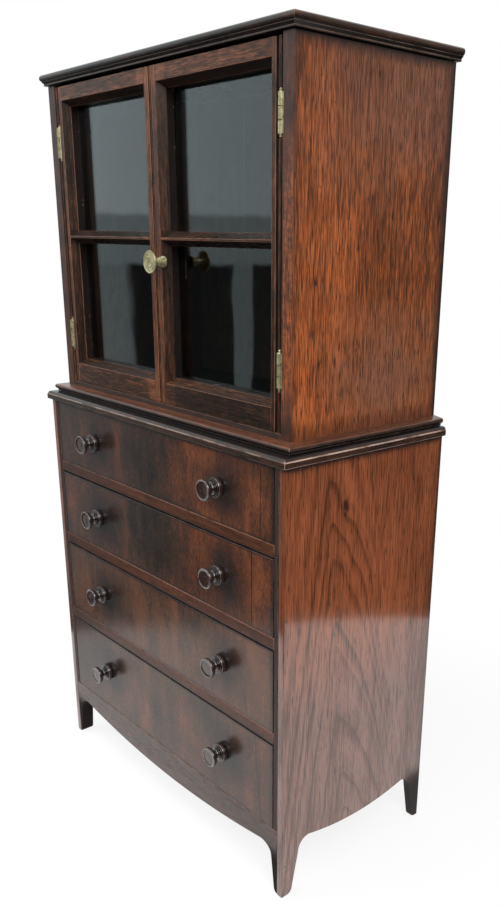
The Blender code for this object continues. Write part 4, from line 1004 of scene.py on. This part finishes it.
def makeScrewShape():  # flat slotted heads, facing along x
    g = newShape("screws", [
        ("Head Radius", "NodeSocketFloat"), ("Head Rise", "NodeSocketFloat"), ("Facing", "NodeSocketFloat"),
        ("Finish", "NodeSocketMaterial"), ("Slot Finish", "NodeSocketMaterial")])
    radius, rise = g.given["Head Radius"], g.given["Head Rise"]
    head = g.add("GeometryNodeMeshCylinder", None, {
        "Vertices": screwLook["sides"], "Radius": radius, "Depth": rise})
    head = g.add("GeometryNodeSetMaterial", None, {"Geometry": head, "Material": g.given["Finish"]})
    size = g.add("ShaderNodeCombineXYZ", None, {
        0: radius * screwLook["slotLong"], 1: radius * screwLook["slotWide"], 2: rise})
    cut = g.add("GeometryNodeMeshCube", None, {"Size": size})
    lift = g.add("ShaderNodeCombineXYZ", None, {2: rise * screwLook["slotLift"]})
    cut = g.add("GeometryNodeTransform", None, {"Geometry": cut, "Translation": lift})
    # the slot is a dark bar; its colour stands for the slot's shade and dirt
    cut = g.add("GeometryNodeSetMaterial", None, {"Geometry": cut, "Material": g.given["Slot Finish"]})
    screw = g.add("GeometryNodeJoinGeometry", None, {"Geometry": [head, cut]})
    tip = g.add("ShaderNodeCombineXYZ", None, {1: g.given["Facing"] * (math.pi / 2)})
    placed = standTwisted(g, screw, tip, screwLook["twist"], screwLook["seed"])
    real = g.add("GeometryNodeRealizeInstances", None, {"Geometry": placed})
    g.add("NodeGroupOutput", None, {"Geometry": real})
    return g.tree


screwShape = makeScrewShape()


def setScrews(name, nodes, plane, facing, body):
    points = []
    for node in nodes:
        low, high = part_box(node)
        y = high.y - screwLook["inset"] * mm
        points += [(plane, y, (low.z + high.z) / 2 + row * mm) for row in screwLook["rows"]]
    mesh = growMesh(name, screwShape, points, {
        "Head Radius": screwLook["radius"] * mm, "Head Rise": screwLook["rise"] * mm, "Facing": float(facing),
        "Finish": brass, "Slot Finish": slotShadeAndDirt})
    meshPiece(name, mesh, None, body)


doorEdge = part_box("right_door_hanging_stile")[1].x
caseInside = caseSideBox[0].x
for word, outward in (("left", -1), ("right", 1)):
    leaves = [f"hinge_{word}_{height}_door_leaf" for height in ("upper", "lower")]
    setScrews(word + "DoorHingeScrews", leaves, outward * doorEdge, outward, nodeBody[leaves[0]])
    leaves = [f"hinge_{word}_{height}_case_leaf" for height in ("upper", "lower")]
    setScrews(word + "CaseHingeScrews", leaves, outward * caseInside, -outward, nodeBody[leaves[0]])
print("hinge screws set")


nailLook = {  # mm
    "radius": 1.5, "rise": 0.5, "sides": 9, "taper": 0.72, "pitch": 46.0, "margin": 5.0,
    "twist": 6.2, "seed": 3,
}


def makeNailShape():  # low hammered heads on the back, facing +y
    g = newShape("nails", [
        ("Head Radius", "NodeSocketFloat"), ("Head Rise", "NodeSocketFloat"),
        ("Finish", "NodeSocketMaterial")])
    radius, rise = g.given["Head Radius"], g.given["Head Rise"]
    head = g.add("GeometryNodeMeshCone", None, {
        "Vertices": nailLook["sides"], "Side Segments": 1, "Radius Top": radius * nailLook["taper"],
        "Radius Bottom": radius, "Depth": rise})
    facing = (-math.pi / 2, 0, 0)
    stood = standTwisted(g, head, facing, nailLook["twist"], nailLook["seed"])
    return closeShape(g, stood, g.given["Finish"])


def nailRow(node):  # places along the four edges of a backboard
    low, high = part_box(node)
    margin, y = nailLook["margin"] * mm, high.y
    points = []
    spans = ((low.x, high.x, lambda a, end: (a, y, end)), (low.z, high.z, lambda a, end: (end, y, a)))
    for spanLow, spanHigh, place in spans:
        count = round((spanHigh - spanLow - 2 * margin) / (nailLook["pitch"] * mm))
        ends = (low.z + margin, high.z - margin) if spanLow == low.x else (low.x + margin, high.x - margin)
        for i in range(count + 1):
            at = spanLow + margin + (spanHigh - spanLow - 2 * margin) * i / count
            points += [place(at, end) for end in ends if spanLow == low.x or 0 < i < count]
    return points


nails = growMesh("backNails", makeNailShape(), nailRow("chest_back") + nailRow("cabinet_back"), {
    "Head Radius": nailLook["radius"] * mm, "Head Rise": nailLook["rise"] * mm, "Finish": iron})
meshPiece("backNails", nails, None, nodeBody["chest_back"])
print("back nailed")

for node, obj in frame["nodes"].items():  # what stays as packed takes its finish here
    if not obj.hide_render:
        obj.data.materials.clear()
        obj.data.materials.append(glass if node.endswith("_pane") else brass)


stageLook = {
    "floorPlace": (0.088, 0.060), "floorDrop": 0.0005, "floorReach": 0.585, "floorSides": 160,
    "floorColour": 0.80, "shadow": 0.17, "shadowFrom": 0.25, "shadowShare": 0.85,
    "wall": 1.0, "sideWall": 0.35, "middle": 0.5, "curtain": 0.4, "dark": 0.03, "ambient": 0.55,
    "wallEdge": (0.014, 0.022), "middleEdge": (-0.036, -0.029), "curtainFoot": (-0.45, -0.3),
    "curtainEdge": (238.4, 239.0), "foldEdges": (230.9, 232.3), "roomTint": (0.86, 1.0, 1.04),
}


def makeFloor():
    look = stageLook
    bm = bmesh.new()
    bmesh.ops.create_circle(bm, cap_ends=True, segments=look["floorSides"], radius=look["floorReach"])
    mesh = freedMesh(bm, "paleFloor")
    floor = bpy.data.objects.new("paleFloor", mesh)
    floor.location = (*look["floorPlace"], -look["floorDrop"])
    scene.collection.objects.link(floor)
    s = newMaterial("paleFloorPaper")
    rays = s.add("ShaderNodeLightPath").socket.node.outputs
    seen = s.most(*[Wire(s, rays[f"Is {kind} Ray"]) for kind in ("Camera", "Glossy", "Transmission")])
    away = s.add("ShaderNodeVectorMath", {"operation": "LENGTH"}, {0: s.place}, out="Value")
    keep = (1 - s.step(away, look["shadowFrom"], look["floorReach"] * look["shadowShare"])) * look["shadow"]
    paper = s.add("ShaderNodeBsdfDiffuse", None, {"Color": (look["floorColour"],) * 3 + (1.0,)})
    white = s.add("ShaderNodeEmission", None, {"Color": (1, 1, 1, 1), "Strength": 1.0})
    shown = s.add("ShaderNodeMixShader", None, {0: keep, 1: white, 2: paper})
    both = s.add("ShaderNodeMixShader", None, {0: seen, 1: paper, 2: shown})
    s.add("ShaderNodeOutputMaterial", None, {"Surface": both})
    mesh.materials.append(s.material)


def makeWorld():  # white to the eye, and to what is polished a room: pale wall above, dark below
    look = stageLook
    world = bpy.data.worlds.new("studio")
    scene.world = world
    world.use_nodes = True
    s = Shade(world.node_tree)
    rays = s.add("ShaderNodeLightPath").socket.node.outputs
    scattered = s.step(Wire(s, rays["Diffuse Depth"]), 0.2, 0.8)
    mirrored = s.step(Wire(s, rays["Glossy Depth"]), 0.2, 0.8)
    through = Wire(s, rays["Is Transmission Ray"]) * (1 - scattered)
    camera = s.most(Wire(s, rays["Is Camera Ray"]), through * (1 - mirrored))
    glossy = s.most(Wire(s, rays["Is Glossy Ray"]), through * mirrored)  # also off the far face of the glass
    direction = s.add("ShaderNodeTexCoord", None, None, out="Generated")
    dx, dy, dz = s.split(direction)
    left = 1 - s.step(dx, -0.1, 0.1)
    # compass bearing, 180 is straight out of the front
    turn = s.calc("ARCTAN2", dx, dy) * (180 / math.pi) % 360.0
    wall = look["sideWall"] + left * (look["wall"] - look["sideWall"])
    drapes = s.most(s.step(turn, *look["curtainEdge"]), s.band(turn, *look["foldEdges"], 0.2))
    curtain = left * drapes * s.step(dz, *look["curtainFoot"])
    below = look["dark"] + curtain * (look["curtain"] - look["dark"])
    middle = look["dark"] + left * (look["middle"] - look["dark"])
    room = below + s.step(dz, *look["middleEdge"]) * (middle - below)
    room = room + s.step(dz, *look["wallEdge"]) * (wall - room)
    ambient = look["ambient"] * (0.55 + 0.45 * s.step(dz, -0.3, 0.5))
    strength = glossy * room + (1 - glossy) * ambient
    strength = camera + (1 - camera) * strength
    tint = s.mix(glossy * (1 - camera), (1.0, 1.0, 1.0), look["roomTint"])
    back = s.add("ShaderNodeBackground", None, {"Color": tint, "Strength": strength})
    s.add("ShaderNodeOutputWorld", None, {"Surface": back})


lampLook = {  # place, target, size, power, whether it is mirrored
    "keyLamp": ((1.5, -0.9, 1.7), (0, 0, 0.35), (1.2, 1.2), 44, True),
    "fillLamp": ((-1.3, -1.6, 1.1), (0, 0, 0.35), (1.6, 1.4), 32, False),
    "topLamp": ((0.1, -0.6, 2.1), (0, 0, 0.3), (1.5, 0.8), 12, True),
}


def softLamp(name, place, target, size, power, mirrored):
    data = bpy.data.lights.new(name, "AREA")
    data.shape, data.size, data.size_y = "RECTANGLE", size[0], size[1]
    data.energy = power
    lamp = bpy.data.objects.new(name, data)
    lamp.location = place
    lamp.rotation_euler = (Vector(target) - Vector(place)).to_track_quat("-Z", "Y").to_euler()
    lamp.visible_glossy = lamp.visible_transmission = mirrored
    scene.collection.objects.link(lamp)


cameraLook = {"place": (0.65810, -0.49837, 0.56501), "yaw": 48.117, "pitch": 18.902, "roll": 0.699,
              "lens": 34.325, "sensor": 36.0, "shift": (-0.04892, 0.08466)}


def makeCamera():
    look = cameraLook
    yaw, pitch, roll = [math.radians(look[k]) for k in ("yaw", "pitch", "roll")]
    forward = Vector((-math.sin(yaw) * math.cos(pitch), math.cos(yaw) * math.cos(pitch), -math.sin(pitch)))
    right = Vector((math.cos(yaw), math.sin(yaw), 0))
    up = right.cross(forward)
    turnedRight = right * math.cos(roll) + up * math.sin(roll)
    turnedUp = up * math.cos(roll) - right * math.sin(roll)
    data = bpy.data.cameras.new("photoCamera")
    data.sensor_width, data.lens = look["sensor"], look["lens"]
    data.shift_x, data.shift_y = look["shift"]
    camera = bpy.data.objects.new("photoCamera", data)
    camera.matrix_world = Matrix((turnedRight, turnedUp, -forward)).transposed().to_4x4()
    camera.location = look["place"]
    scene.collection.objects.link(camera)
    scene.camera = camera


makeFloor()
makeWorld()
for name, setting in lampLook.items():
    softLamp(name, *setting)
makeCamera()
print("stage set")
